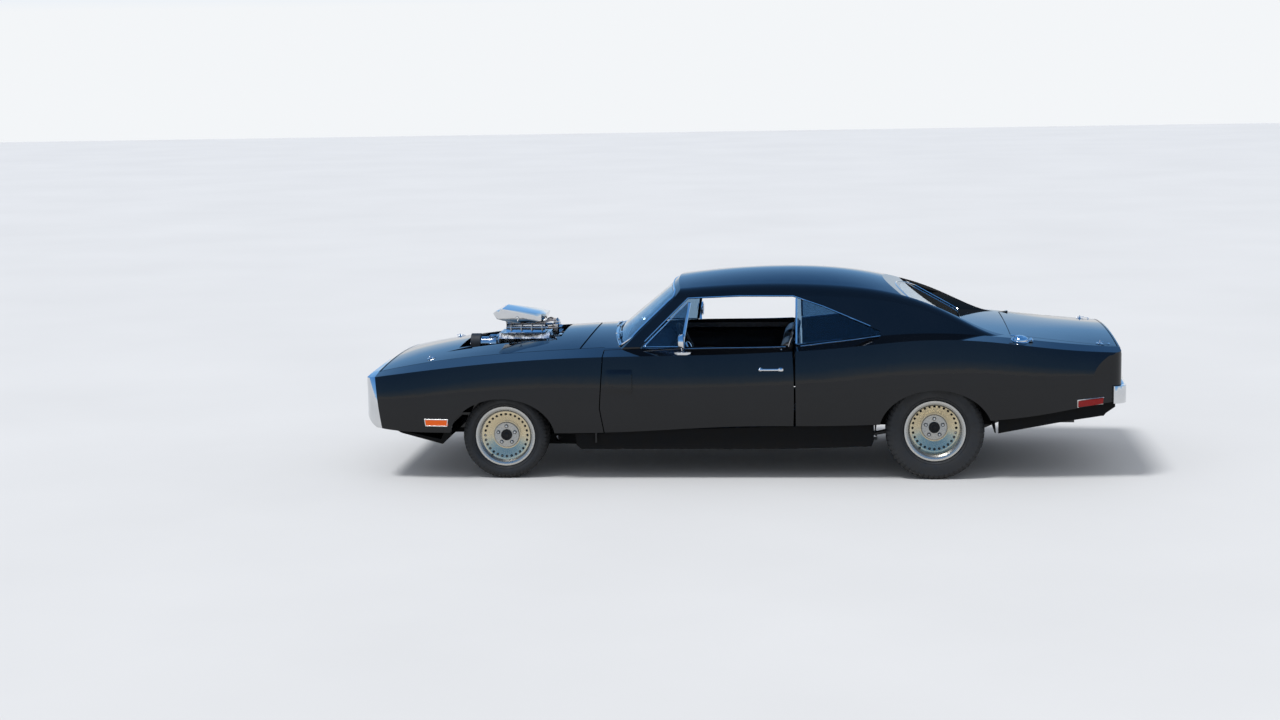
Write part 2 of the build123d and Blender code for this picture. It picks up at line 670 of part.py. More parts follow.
# Engine: block with gearbox, covers and manifold, then blower, scoop and belt drive
block_front = -200.0
block_rear = 560.0
engine = cross_prism([
    (-150, 230), (150, 230), (190, 430), (330, 600), (330, 700), (170, 760), (-170, 760), (-330, 700), (-330, 600),
    (-190, 430),
], block_front, 430)
gearbox = block(430, 1180, -100, 100, 205, 355)
manifold = block(-140, 250, -120, 120, 760, 796)
cover_low = (180.0, 756.0)
cover_high = (320.0, 704.0)
cover_thick = 48.0
cover_fins = 5
fin_height = 5.0
cover_run = math.hypot(cover_high[0] - cover_low[0], cover_high[1] - cover_low[1])
cover_y = (cover_high[0] - cover_low[0]) / cover_run
cover_z = (cover_high[1] - cover_low[1]) / cover_run


def on_cover(along, lift):
    return (cover_low[0] + cover_y * along - cover_z * lift, cover_low[1] + cover_z * along + cover_y * lift)


cover_outline = [on_cover(0, -14), on_cover(0, cover_thick - 14), on_cover(12, cover_thick)]
fin_pitch = (cover_run - 24) / cover_fins
for n in range(cover_fins):
    fin_start = 12 + fin_pitch * (n + 0.3)
    cover_outline += [on_cover(fin_start, cover_thick), on_cover(fin_start, cover_thick + fin_height)]
    fin_start += fin_pitch * 0.4
    cover_outline += [on_cover(fin_start, cover_thick + fin_height), on_cover(fin_start, cover_thick)]
cover_outline += [on_cover(cover_run - 12, cover_thick), on_cover(cover_run, cover_thick - 14), on_cover(cover_run, -14)]
cover = cross_prism(cover_outline, block_front + 36, 378)
engine = engine + gearbox + manifold + cover + other_side(cover)
engine = engine + Solid.make_cylinder(56, 52, Plane(origin=(455, 0, 640), z_dir=(0, 0, 1))) + block(425, 486, -60, 60, 560, 640)
keep("engine_block", engine)

blower_front = -140.0
blower_back = 227.0
blower_low = 796.0
blower_high = 926.0
blower_half = 142.0
blower = cross_prism([
    (-blower_half + 30, blower_low), (blower_half - 30, blower_low), (blower_half, blower_low + 45),
    (blower_half, blower_high - 35), (blower_half - 35, blower_high), (35 - blower_half, blower_high),
    (-blower_half, blower_high - 35), (-blower_half, blower_low + 45),
], blower_front, blower_back)
snout_z = 842.0
snout_front = -296.0
snout_radius = 48.0
snout_root = 80.0
snout_face = Face(Wire.make_polygon([
    p3(snout_front, 0, snout_z), p3(snout_front, snout_radius, snout_z), p3(-210, snout_radius, snout_z),
    p3(-178, snout_radius + 8, snout_z), p3(blower_front - 12, snout_root, snout_z), p3(blower_front, snout_root, snout_z),
    p3(blower_front, 0, snout_z),
], close=True))
snout = Solid.revolve(snout_face, 360, Axis((snout_front, 0, snout_z), (1, 0, 0)))
blower = blower + snout
rib_height = 5.0
rib_width = 7.0
end_plate = 14.0
rib_outline = [
    (-blower_half - rib_height, blower_low + 45), (-blower_half - rib_height, blower_high - 33),
    (33 - blower_half, blower_high + rib_height), (blower_half - 33, blower_high + rib_height),
    (blower_half + rib_height, blower_high - 33), (blower_half + rib_height, blower_low + 45),
    (blower_half, blower_low + 38), (-blower_half, blower_low + 38),
]
rib_count = 7
rib_step = (blower_back - blower_front) / (rib_count - 1)
for n in range(rib_count):
    half_width = end_plate if n in (0, rib_count - 1) else rib_width / 2
    rib_x = blower_front + rib_step * n
    blower = blower + cross_prism(
        rib_outline, max(rib_x - half_width, blower_front), min(rib_x + half_width, blower_back)
    )
blower = blower + block(blower_back, 245, -112, 112, 822, 912) + block(245, 300, -76, 76, 836, 902)
keep("blower", blower)

scoop_half = 150.0
scoop_base_outline = [
    (-blower_half + 36, blower_high + rib_height), (blower_half - 36, blower_high + rib_height), (92, 962), (92, 985),
    (112, 1014), (-112, 1014), (-92, 985), (-92, 962),
]
scoop_base = cross_prism(scoop_base_outline, -92, 190)
scoop_top = side_prism([
    (-181, 1075), (-160, 1090), (-114, 1108), (202, 1067), (193, 1025), (120, 1006), (-32, 1006), (-150, 1034),
], -scoop_half, scoop_half)
scoop_plan = plan_prism([
    (-190, -118), (-168, -142), (-140, -scoop_half), (120, -scoop_half), (172, -138), (210, -108),
    (210, 108), (172, 138), (120, scoop_half), (-140, scoop_half), (-168, 142), (-190, 118),
], 990, 1120)
scoop_mouth = block(-200, -100, -scoop_half + 22, scoop_half - 22, 1042, 1078)
bore_radius = 17.0
bore_y = 64.0
scoop_bores = [rod((-101, y, 1060), (-40, y, 1060), bore_radius) for y in (-bore_y, 0, bore_y)]
scoop_top = (scoop_top & scoop_plan) - scoop_mouth
scoop = scoop_base + scoop_top.cut(*scoop_bores)
keep("intake_scoop", scoop)

pulley_front = -364.0
pulley_back = -296.0
top_pulley = 66.0
crank_pulley = 80.0
crank_z = 470.0
belt_thick = 5.0


def belt_outline(grow):
    upper = Solid.make_cylinder(top_pulley + grow, pulley_back - pulley_front, Plane(origin=(pulley_front, 0, snout_z), z_dir=(1, 0, 0)))
    lower = Solid.make_cylinder(crank_pulley + grow, pulley_back - pulley_front, Plane(origin=(pulley_front, 0, crank_z), z_dir=(1, 0, 0)))
    lean = math.asin((crank_pulley - top_pulley) / (snout_z - crank_z))
    c, s = math.cos(lean), math.sin(lean)
    hull = [
        (c * (top_pulley + grow), snout_z + s * (top_pulley + grow)), (-c * (top_pulley + grow), snout_z + s * (top_pulley + grow)),
        (-c * (crank_pulley + grow), crank_z + s * (crank_pulley + grow)), (c * (crank_pulley + grow), crank_z + s * (crank_pulley + grow)),
    ]
    return upper + lower + cross_prism(hull, pulley_front, pulley_back)


belt = belt_outline(belt_thick) - belt_outline(0)
pulleys = rod((pulley_front, 0, snout_z), (pulley_back, 0, snout_z), top_pulley)
pulleys = pulleys + rod((pulley_front, 0, crank_z), (pulley_back, 0, crank_z), crank_pulley)
pulleys = pulleys + rod((pulley_back, 0, crank_z), (block_front, 0, crank_z), 40)
keep("blower_drive", belt + pulleys)

# Exhaust: one pipe and silencer on each side
pipe_radius = 30.0
pipe_y = 300.0
pipe_z = 205.0
primary_radius = 20.0
collector_z = 480.0
collector_y = 376.0
first_port_x = -130.0
port_pitch = 92.0
port_count = 4
port_sweep = 22.0
collector_front = first_port_x + port_sweep
collector_rear = first_port_x + 2 * port_sweep + port_pitch * (port_count - 1)
header_top = rod((collector_front, -collector_y, collector_z), (collector_rear, -collector_y, collector_z), pipe_radius)
for n in range(port_count):
    port_x = first_port_x + port_pitch * n
    bend = (port_x + port_sweep, -collector_y, 570)
    header_top = header_top + rod((port_x, -320, 612), bend, primary_radius) + Pos(*bend) * Sphere(primary_radius)
    header_top = header_top + rod(bend, (port_x + 2 * port_sweep, -collector_y, collector_z), primary_radius)
header_down = rod((collector_rear - 10, -collector_y, collector_z), (330, -pipe_y, pipe_z + 10), pipe_radius)
pipe = rod((300, -pipe_y, pipe_z), (2560, -pipe_y, pipe_z), pipe_radius)
silencer = rod((1900, -pipe_y, pipe_z - 5), (2380, -pipe_y, pipe_z - 5), 50)
exhaust = (header_top + header_down + pipe + silencer) - engine - underbody
exhaust_left = largest(exhaust)
keep("exhaust", Compound(children=[exhaust_left, other_side(exhaust_left)]))

# Cabin
seat_gap = 0.3
seat_y = 370.0
seat_half = 260.0
seat_floor = floor_z + seat_gap
front_seat = side_prism([
    (1360, seat_floor), (1350, 440), (1400, 520), (1790, 480), (1840, 560), (1930, 905), (1968, 948), (2010, 950),
    (2036, 925), (1950, 500), (1900, seat_floor),
], -seat_y - seat_half, -seat_y + seat_half - 26)
rear_seat = side_prism([
    (2200, seat_floor), (2190, 480), (2240, 520), (2480, 500), (2560, 880), (2640, 890), (2640, 520),
    (2590, kick_z + seat_gap), (2430, seat_floor),
], -560, 560)
rear_seat = rear_seat - side_prism(
    [(2430, 200), (2430 + 10, floor_z + seat_gap), (2600, kick_z + seat_gap), (2700, kick_z + seat_gap), (2700, 200)], -600, 600
) - block(2000, 2500, -131, 131, 200, 345)
front_seat = largest(front_seat)
keep("seats", Compound(children=[front_seat, other_side(front_seat), largest(rear_seat)]))

dash = side_prism([
    (bulkhead_x + 12, 700), (bulkhead_x + 12, 760), (860, 790), (860, 850), (900, 868), (1040, 850), (1080, 800),
    (1060, 640), (860, 640),
], -730, 730)
dash = dash & inner
keep("dashboard", largest(dash))

wheel_x = 1300.0
wheel_z = 850.0
wheel_y = -370.0
wheel_ring = 188.0
tilt = 24.0
dash_rear = 1080.0
column = Solid.make_cylinder(20, wheel_x - dash_rear - 30, Plane.YZ)
boss = Pos(wheel_x - dash_rear - 30, 0, 0) * Solid.make_cylinder(42, 30, Plane.YZ)
ring_thick = 13.0
ring_x = wheel_x - dash_rear - 15
ring_points = [
    p3(ring_x + ring_thick * math.cos(turn), wheel_ring + ring_thick * math.sin(turn), 0)
    for turn in (math.pi * (n + 0.5) / 4 for n in range(8))
]
ring = Solid.revolve(Face(Wire.make_polygon(ring_points, close=True)), 360, Axis((0, 0, 0), (1, 0, 0)))
spoke = block(wheel_x - dash_rear - 22, wheel_x - dash_rear - 12, -wheel_ring, wheel_ring, -15, 15)
post = block(wheel_x - dash_rear - 22, wheel_x - dash_rear - 12, -15, 15, -wheel_ring, 0)
steering = column + boss + spoke + post + ring
steering = Pos(dash_rear - 6, wheel_y, wheel_z - 90) * Rot(0, -tilt, 0) * steering
keep("steering_wheel", largest(steering - dash))

# Wheels, drawn for the left side with the outer lip at y = lip_y


def tyre(x, z, middle_y, radius, width, rim_width):
    half = width / 2
    seat = rim_width / 2 - 9
    points = [
        (rim_seat_radius, -seat), (rim_flange_radius + 2, -seat), (rim_flange_radius + 14, -half + 12),
        (rim_flange_radius + 34, -half), (radius - 34, -half), (radius - 9, -half + 12), (radius, -half + 34),
        (radius, half - 34), (radius - 9, half - 12), (radius - 34, half), (rim_flange_radius + 34, half),
        (rim_flange_radius + 14, half - 12), (rim_flange_radius + 2, seat), (rim_seat_radius, seat),
    ]
    face = Face(Wire.make_polygon([p3(x + r, y - middle_y, z) for r, y in points], close=True))
    return Solid.revolve(face, 360, Axis((x, -middle_y, z), (0, 1, 0)))


def rim(x, z, middle_y, rim_width, dish, hub_length):
    half = rim_width / 2
    barrel = rim_seat_radius - rim_wall
    well = barrel - well_drop
    lip = -half
    disc = lip + dish
    well_out = lip + bead_seat
    well_in = half - bead_seat
    disc_outer = disc - disc_rise
    points = [
        (rim_flange_radius, lip), (rim_flange_radius, lip + flange_width), (rim_seat_radius, lip + flange_width),
        (rim_seat_radius, well_out), (well + rim_wall, well_out + well_drop), (well + rim_wall, well_in - well_drop),
        (rim_seat_radius, well_in), (rim_seat_radius, half - flange_width), (rim_flange_radius, half - flange_width),
        (rim_flange_radius, half), (barrel, half), (barrel, well_in), (well, well_in - well_drop),
        (well, disc_outer + disc_wall), (hub_face_radius + 12, disc + disc_wall), (hub_radius + 16, disc + hub_length),
        (hub_radius + hub_running_gap, disc + hub_length), (hub_radius + hub_running_gap, disc),
        (hub_face_radius, disc), (hub_face_radius + 3, disc + hub_step), (hub_face_radius + 12, disc + hub_step),
        (hole_ring_radius + hole_radius + 5, disc_outer + 2), (well, disc_outer), (well, well_out + well_drop),
        (barrel, well_out), (barrel, lip + 4), (rim_flange_radius - lip_width, lip),
    ]
    face = Face(Wire.make_polygon([p3(x + r, y - middle_y, z) for r, y in points], close=True))
    wheel = Solid.revolve(face, 360, Axis((x, -middle_y, z), (0, 1, 0)))
    disc_y = disc - middle_y
    tools = []
    for n in range(hole_count):
        turn = 2 * math.pi * n / hole_count
        hole_x = x + hole_ring_radius * math.cos(turn)
        hole_z = z + hole_ring_radius * math.sin(turn)
        tools.append(rod((hole_x, disc_y - disc_rise - 20, hole_z), (hole_x, disc_y + disc_wall + 20, hole_z), hole_radius))
    for n in range(lug_count):
        turn = 2 * math.pi * n / lug_count + math.pi / 2
        lug_x = x + lug_ring_radius * math.cos(turn)
        lug_z = z + lug_ring_radius * math.sin(turn)
        tools.append(rod((lug_x, disc_y - 1, lug_z), (lug_x, disc_y + lug_seat_depth, lug_z), lug_seat_radius))
    return wheel.cut(*tools)


front_hub_length = 60.0
rear_hub_length = 40.0
front_tyre = tyre(0, front_tyre_radius, front_wheel_y, front_tyre_radius, front_tyre_width, front_rim_width)
rear_tyre = tyre(wheelbase, rear_tyre_radius, rear_wheel_y, rear_tyre_radius, rear_tyre_width, rear_rim_width)
front_rim = rim(0, front_tyre_radius, front_wheel_y, front_rim_width, front_dish, front_hub_length)
rear_rim = rim(wheelbase, rear_tyre_radius, rear_wheel_y, rear_rim_width, rear_dish, rear_hub_length)
keep("tyre_front_left", front_tyre)
keep("tyre_front_right", other_side(front_tyre))
keep("tyre_rear_left", rear_tyre)
keep("tyre_rear_right", other_side(rear_tyre))
keep("rim_front_left", front_rim)
keep("rim_front_right", other_side(front_rim))
keep("rim_rear_left", rear_rim)
keep("rim_rear_right", other_side(rear_rim))

# Steering knuckles, the cross member with its arms, and the rear axle on leaf springs
front_lip_y = front_wheel_y + front_rim_width / 2
rear_lip_y = rear_wheel_y + rear_rim_width / 2
spindle_end = front_lip_y - front_dish + 4
ball_low = 196.0
ball_high = 410.0
ball_radius = 18.0
spindle = rod((0, -kingpin_y, front_tyre_radius), (0, -spindle_end, front_tyre_radius), hub_radius)
upright = block(-26, 26, -kingpin_y - 22, -kingpin_y + 22, ball_low + 24, ball_high - 24)
knuckle = upright + spindle
keep("knuckle_left", knuckle)
keep("knuckle_right", other_side(knuckle))

arm_gap = 0.3
arm_root = 486.0
low_arm = plan_prism([
    (-160, -rail_y), (-22, -kingpin_y - 18), (22, -kingpin_y - 18), (160, -rail_y),
], ball_low, ball_low + 24 - arm_gap)
high_arm = plan_prism([
    (-110, -arm_root), (-22, -kingpin_y - 18), (22, -kingpin_y - 18), (110, -arm_root),
], ball_high - 24 + arm_gap, ball_high)
cross = block(-160, 160, -rail_y, 0, ball_low, ball_low + 24 - arm_gap)
riser = block(-160, 140, -rail_y - 32, -rail_y + 32, ball_low, 262)
cross_left = low_arm + cross + riser
cross_member = (cross_left + other_side(cross_left)) - underbody
keep("front_suspension", Compound(children=[cross_member.solids()[0], high_arm, other_side(high_arm)]))

axle_z = rear_tyre_radius
axle_end = rear_lip_y - rear_dish + 4
axle = rod((wheelbase, -axle_end, axle_z), (wheelbase, -560, axle_z), hub_radius)
axle = axle + rod((wheelbase, -600, axle_z), (wheelbase, 0, axle_z), 42)
spring_y = 520.0
spring = side_prism([
    (2450, 232), (2640, 262), (2900, 270), (3044, 270), (3300, 290), (3560, 405), (3560, 432 - 12), (3480, 420 - 8),
    (3290, 308), (3044, 294), (2900, 294), (2640, 284), (2500, 250), (2450, 250),
], -spring_y - 30, -spring_y + 30)
perch = block(wheelbase - 45, wheelbase + 45, -spring_y - 30, -spring_y + 30, 290, 310)
axle_left = axle + spring + perch
rear_axle = axle_left + other_side(axle_left) + Pos(wheelbase, 0, axle_z) * Sphere(120)
rear_axle = rear_axle - underbody
prop_shaft = rod((1180, 0, 224), (wheelbase - 100, 0, axle_z - 5), 36)
rear_axle = (rear_axle + prop_shaft) - engine - underbody
keep("rear_axle", largest(rear_axle))

fuel_tank = block(3500, 3960, -330, 330, 300, boot_z - floor_t)
keep("fuel_tank", fuel_tank)

# Origin on the road under the middle of the whole car
front_most = min(s.bounding_box().min.X for s in pieces["nose_loop"])
rear_most = max(s.bounding_box().max.X for s in pieces["rear_bumper"])
x_middle = (front_most + rear_most) / 2
for name, solids in pieces.items():
    moved = [Pos(-x_middle, 0, 0) * solid for solid in solids]
    export_step(moved[0] if len(moved) == 1 else Compound(children=moved), "parts/" + name + ".step")
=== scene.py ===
import bpy
import bmesh
from math import cos, hypot, pi, radians, sin
from mathutils import Matrix, Vector
from mathutils.bvhtree import BVHTree


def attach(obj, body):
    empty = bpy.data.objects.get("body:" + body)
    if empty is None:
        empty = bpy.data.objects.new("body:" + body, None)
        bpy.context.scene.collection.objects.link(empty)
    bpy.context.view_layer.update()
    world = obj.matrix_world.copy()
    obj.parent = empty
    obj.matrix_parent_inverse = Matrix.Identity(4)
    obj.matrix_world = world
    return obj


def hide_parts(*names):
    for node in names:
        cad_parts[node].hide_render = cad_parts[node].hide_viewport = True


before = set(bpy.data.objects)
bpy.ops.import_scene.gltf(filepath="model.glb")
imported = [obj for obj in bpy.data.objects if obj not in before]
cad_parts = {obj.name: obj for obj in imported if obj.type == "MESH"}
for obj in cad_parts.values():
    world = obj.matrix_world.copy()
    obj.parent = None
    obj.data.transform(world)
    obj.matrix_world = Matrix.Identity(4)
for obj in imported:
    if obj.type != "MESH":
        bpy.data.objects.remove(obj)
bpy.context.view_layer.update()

# The front axle in metres: every x below is measured from it, in millimetres
FRONT_AXLE = -1.6415
UP, RIGHT, REAR = Vector((0, 0, 1)), Vector((0, 1, 0)), Vector((1, 0, 0))
SIDES = (("left", -1), ("right", 1))


# Materials
def wire(tree, node, inputs):
    """An input is another node's output or a plain value."""
    for key, value in inputs.items():
        if isinstance(value, bpy.types.NodeSocket):
            tree.links.new(value, node.inputs[key])
        else:
            node.inputs[key].default_value = value


def put(tree, kind, output, inputs=None, **properties):
    """A new shader node, wired up. Returns the named output."""
    node = tree.nodes.new("ShaderNode" + kind)
    for key, value in properties.items():
        setattr(node, key, value)
    wire(tree, node, inputs or {})
    return node.outputs[output]


def shader(name):
    mat = bpy.data.materials.new(name)
    mat.use_nodes = True
    return mat, mat.node_tree, mat.node_tree.nodes["Principled BSDF"]


def coords(tree, output="Object"):
    return put(tree, "TexCoord", output)


def noise(tree, scale, detail=4.0):
    return put(tree, "TexNoise", "Fac", {"Vector": coords(tree), "Scale": scale, "Detail": detail})


def ramp(tree, source, low, high, start=0.35, end=0.65):
    return put(tree, "MapRange", "Result",
               {"Value": source, "From Min": start, "From Max": end, "To Min": low, "To Max": high})


def bands(tree, source, stops):
    node = put(tree, "ValToRGB", "Color", {"Fac": source}).node
    elements = node.color_ramp.elements
    elements.remove(elements[1])
    elements[0].position = stops[0][0]
    elements[0].color = (*stops[0][1], 1)
    for place, colour in stops[1:]:
        elements.new(place).color = (*colour, 1)
    return node.outputs["Color"]


def tint(tree, source, dark, light):
    return bands(tree, source, [(0.3, dark), (0.7, light)])


def bump(tree, source, strength, distance):
    return put(tree, "Bump", "Normal", {"Height": source, "Strength": strength, "Distance": distance})


def make(name, dark, light, metallic, rough_low, rough_high, grain, bump_strength=0.0, bump_distance=0.0005, **extra):
    mat, tree, bsdf = shader(name)
    field = noise(tree, grain)
    wire(tree, bsdf, {
        "Base Color": tint(tree, field, dark, light), "Roughness": ramp(tree, field, rough_low, rough_high),
        "Metallic": metallic, **{key.replace("_", " "): value for key, value in extra.items()},
    })
    if bump_strength:
        wire(tree, bsdf, {"Normal": bump(tree, noise(tree, grain * 6, 2.0), bump_strength, bump_distance)})
    return mat


def ribbed_lens(name, dark, light, lines):
    """A lens whose inside is cut in fine lines across the car."""
    mat, tree, bsdf = shader(name)
    wave = put(tree, "TexWave", "Fac", {"Vector": coords(tree), "Scale": lines})
    wire(tree, bsdf, {
        "Base Color": tint(tree, noise(tree, 18.0), dark, light), "Specular IOR Level": 0.35,
        "Roughness": ramp(tree, noise(tree, 12.0), 0.12, 0.22), "Normal": bump(tree, wave, 0.35, 0.001),
    })
    return mat


def marker_lens():
    """Amber on the front wings, red at the rear."""
    mat, tree, bsdf = shader("marker_lens")
    along = ramp(tree, put(tree, "SeparateXYZ", "X", {"Vector": coords(tree)}), 0.0, 1.0, -0.1, 0.1)
    wire(tree, bsdf, {
        "Base Color": bands(tree, along, [(0.0, (0.78, 0.11, 0.004)), (1.0, (0.24, 0.003, 0.003))]),
        "Roughness": ramp(tree, noise(tree, 20.0), 0.08, 0.16), "Specular IOR Level": 0.3,
        "Normal": bump(tree, noise(tree, 240.0, 1.0), 0.25, 0.0006),
    })
    return mat


def glass_material(name, colour):
    mat, tree, bsdf = shader(name)
    wire(tree, bsdf, {"Base Color": (*colour, 1), "Transmission Weight": 1.0, "IOR": 1.42,
                      "Roughness": ramp(tree, noise(tree, 2.0), 0.0, 0.015)})
    return mat


def rim_material():
    """Turned metal: the disc brushed round the axle and tinted warm gold as a painted reflection of a warm road, a
    bright lip, a satin seat for the nuts.
    """
    mat, tree, bsdf = shader("machined_rim")
    whole = coords(tree, "Generated")
    centred = put(tree, "VectorMath", "Vector", {0: whole, 1: (0.5, 0.5, 0.5)}, operation="SUBTRACT")
    flat = put(tree, "VectorMath", "Vector", {0: centred, 1: (1.0, 0.0, 1.0)}, operation="MULTIPLY")
    reach = put(tree, "VectorMath", "Value", {0: flat}, operation="LENGTH")
    wire(tree, bsdf, {
        "Base Color": bands(tree, ramp(tree, reach, 0.0, 1.0, 0.0, 0.5), [
            (0.0, (0.42, 0.41, 0.38)), (0.40, (0.42, 0.41, 0.38)), (0.42, (0.22, 0.21, 0.19)),
            # The disc's warm gold from 0.46 to 0.80 is a painted reflection of a warm road, not the metal's own colour
            (0.46, (0.62, 0.52, 0.34)), (0.80, (0.66, 0.56, 0.37)), (0.84, (0.32, 0.31, 0.28)),
            (0.93, (0.38, 0.37, 0.34)), (0.95, (0.52, 0.50, 0.46)),
        ]),
        "Roughness": ramp(tree, noise(tree, 60.0, 6.0), 0.24, 0.34), "Metallic": 0.82, "Anisotropic": 0.65,
        "Tangent": put(tree, "Tangent", "Tangent", direction_type="RADIAL", axis="Y"),
    })
    return mat


# name, dark and light colour, metallic, roughness from and to, grain, strength and depth of the bump
paint = make("black_paint", (0.0016, 0.0020, 0.0030), (0.0026, 0.0032, 0.0046), 0.0, 0.02, 0.05, 3.0, 0.012, 0.0006,
             IOR=1.5, Specular_IOR_Level=0.38)
dark_paint = make("underbody_black", (0.003, 0.003, 0.003), (0.008, 0.0075, 0.007), 0.0, 0.6, 0.85, 14.0, 0.15,
                  0.0008, Specular_IOR_Level=0.12)
chrome = make("chrome", (0.60, 0.61, 0.62), (0.68, 0.69, 0.70), 1.0, 0.03, 0.08, 9.0)
mirror_finish = make("mirror_glass", (0.42, 0.45, 0.48), (0.48, 0.51, 0.54), 1.0, 0.01, 0.03, 5.0)
polished = make("polished_aluminium", (0.42, 0.43, 0.44), (0.56, 0.57, 0.58), 1.0, 0.10, 0.22, 16.0, 0.05, 0.0004)
cast = make("cast_aluminium", (0.30, 0.30, 0.30), (0.42, 0.42, 0.41), 1.0, 0.32, 0.5, 60.0, 0.3, 0.0006)
tyre_rubber = make("tyre_rubber", (0.010, 0.010, 0.0105), (0.022, 0.022, 0.022), 0.0, 0.62, 0.85, 22.0, 0.2, 0.0006)
belt_rubber = make("belt_rubber", (0.010, 0.010, 0.010), (0.02, 0.02, 0.02), 0.0, 0.5, 0.7, 40.0, 0.2)
iron = make("cast_iron", (0.030, 0.030, 0.031), (0.075, 0.072, 0.068), 0.6, 0.45, 0.7, 18.0, 0.3, 0.001)
steel = make("exhaust_steel", (0.05, 0.048, 0.045), (0.12, 0.115, 0.11), 1.0, 0.38, 0.6, 12.0, 0.08)
plastic = make("matt_black_plastic", (0.009, 0.009, 0.010), (0.018, 0.018, 0.019), 0.0, 0.45, 0.65, 30.0, 0.25, 0.0004)
cloth_black = make("carpet", (0.006, 0.006, 0.006), (0.020, 0.019, 0.019), 0.0, 0.85, 0.98, 260.0, 0.8, 0.0015,
                   Sheen_Weight=0.25)
leather = make("seat_leather", (0.010, 0.010, 0.011), (0.024, 0.023, 0.023), 0.0, 0.38, 0.55, 60.0, 0.35, 0.0006)
piping = make("seat_piping", (0.30, 0.31, 0.32), (0.40, 0.41, 0.42), 0.0, 0.4, 0.55, 80.0, 0.2, 0.0003)
hose = make("braided_hose", (0.26, 0.19, 0.15), (0.58, 0.52, 0.46), 0.4, 0.35, 0.6, 220.0, 0.5, 0.0008)
white_lens = make("clear_lens", (0.55, 0.56, 0.57), (0.66, 0.67, 0.68), 0.0, 0.06, 0.14, 40.0, 0.2, 0.0006,
                  Coat_Weight=0.6)
dial = make("dial_face", (0.012, 0.012, 0.013), (0.02, 0.02, 0.021), 0.0, 0.25, 0.4, 50.0, Coat_Weight=0.4)
tick = make("dial_ticks", (0.55, 0.55, 0.52), (0.66, 0.66, 0.62), 0.0, 0.4, 0.5, 60.0)
# Near black, used only for the door scoops' mouths: painted shade in their openings
scoop_mouth_shade = make("painted_scoop_mouth_shade", (0.006, 0.006, 0.006), (0.012, 0.012, 0.012), 0.0, 0.6, 0.8, 50.0, 0.2, 0.0004)
bezel_metal = make("satin_bezel", (0.60, 0.59, 0.56), (0.70, 0.69, 0.66), 1.0, 0.30, 0.42, 30.0)
# Black of the hub cap and valve, also used for rings of painted shade round the nuts and the rim holes
hub_cap_and_shade_black = make("hub_cap_and_painted_shade_black", (0.006, 0.006, 0.006), (0.013, 0.013, 0.013), 0.0, 0.35, 0.55, 40.0, 0.1, 0.0003,
                 Specular_IOR_Level=0.25)
wire_black = make("plug_wire", (0.010, 0.010, 0.011), (0.02, 0.02, 0.021), 0.0, 0.35, 0.5, 60.0)
dark_trim = make("dash_trim", (0.012, 0.012, 0.013), (0.022, 0.022, 0.023), 0.2, 0.3, 0.45, 24.0, 0.2, 0.0003)
lining_cloth = make("roof_lining", (0.016, 0.016, 0.016), (0.028, 0.028, 0.027), 0.0, 0.8, 0.95, 200.0, 0.4, 0.0006)

BY_NODE = {name: material for material, names in (
    (paint, "quarters_roof bulkhead_and_cowl wing_left wing_right hood deck_lid door_left door_right"),
    (dark_paint, "underbody front_apron rear_apron"),
    (chrome, "mirror_left mirror_right nose_loop rear_bumper intake_scoop"),
    (plastic, "grille tail_panel dashboard"),
    (glass_material("window_glass", (0.60, 0.71, 0.76)), "windscreen rear_window"),
    # The side panes are tinted far darker and bluer than the windscreen: partly a glass tint, partly a painted
    # reflection of the blue sky
    (glass_material("side_glass", (0.20, 0.32, 0.44)), "quarter_panes vent_pane_left vent_pane_right"),
    (ribbed_lens("red_lens", (0.13, 0.002, 0.002), (0.22, 0.005, 0.004), 30.0), "tail_lamps"),
    (marker_lens(), "side_markers"),
    (polished, "blower"),
    (belt_rubber, "blower_drive"),
    (steel, "exhaust fuel_tank"),
    (leather, "seats steering_wheel"),
    (iron, "engine_block front_suspension rear_axle knuckle_left knuckle_right"),
    (rim_material(), "rim_front_left rim_front_right rim_rear_left rim_rear_right"),
    (tyre_rubber, "tyre_front_left tyre_front_right tyre_rear_left tyre_rear_right"),
) for name in names.split()}
for name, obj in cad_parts.items():
    obj.data.materials.clear()
    obj.data.materials.append(BY_NODE[name])


# Mesh helpers. Places are written as in the part: millimetres behind the front axle, to the right, above the road.
def at(x, y, z):
    return Vector((FRONT_AXLE + x / 1000, y / 1000, z / 1000))


def vec(x, y, z):
    return Vector((x, y, z))


def link(name, data):
    obj = bpy.data.objects.new(name, data)
    bpy.context.collection.objects.link(obj)
    return obj


def add(name, shape, material, body="body"):
    mesh = bpy.data.meshes.new(name)
    mesh.from_pydata([tuple(v) for v in shape.verts], [], shape.faces)
    bm = bmesh.new()
    bm.from_mesh(mesh)
    bmesh.ops.recalc_face_normals(bm, faces=bm.faces)
    bm.to_mesh(mesh)
    bm.free()
    mesh.materials.append(material)
    obj = link(name, mesh)
    mesh.shade_smooth()
    mesh.set_sharp_from_angle(angle=radians(35))
    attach(obj, body)
    return obj


def both(name, shape, material, rides="body"):
    """The left piece and its mirror image, on the body or on the doors."""
    for side, way in SIDES:
        half = Shape()
        half.verts = [vec(v.x, -way * v.y, v.z) for v in shape.verts]
        half.faces = shape.faces
        add(name + "_" + side, half, material, "door_" + side if rides == "door" else rides)


def spokes(count, u, v, start=0.0):
    """Directions evenly round from u towards v."""
    return [u * cos(t) + v * sin(t) for t in (start + 2 * pi * k / count for k in range(count))]


def circle(radius, sides):
    return [(radius / 1000 * cos(2 * pi * k / sides), radius / 1000 * sin(2 * pi * k / sides)) for k in range(sides)]


def sweep(path, outline):
    """Rings of an outline carried along a path without twisting. An outline point is (across, up), in metres."""
    rings = []
    across = None
    for i, point in enumerate(path):
        way = (path[min(i + 1, len(path) - 1)] - path[max(i - 1, 0)]).normalized()
        if across is None:
            across = way.cross(UP)
            if across.length < 0.05:
                across = way.orthogonal()
        across = (across - way * across.dot(way)).normalized()
        lift = across.cross(way)
        rings.append([point + across * a + lift * b for a, b in outline])
    return rings


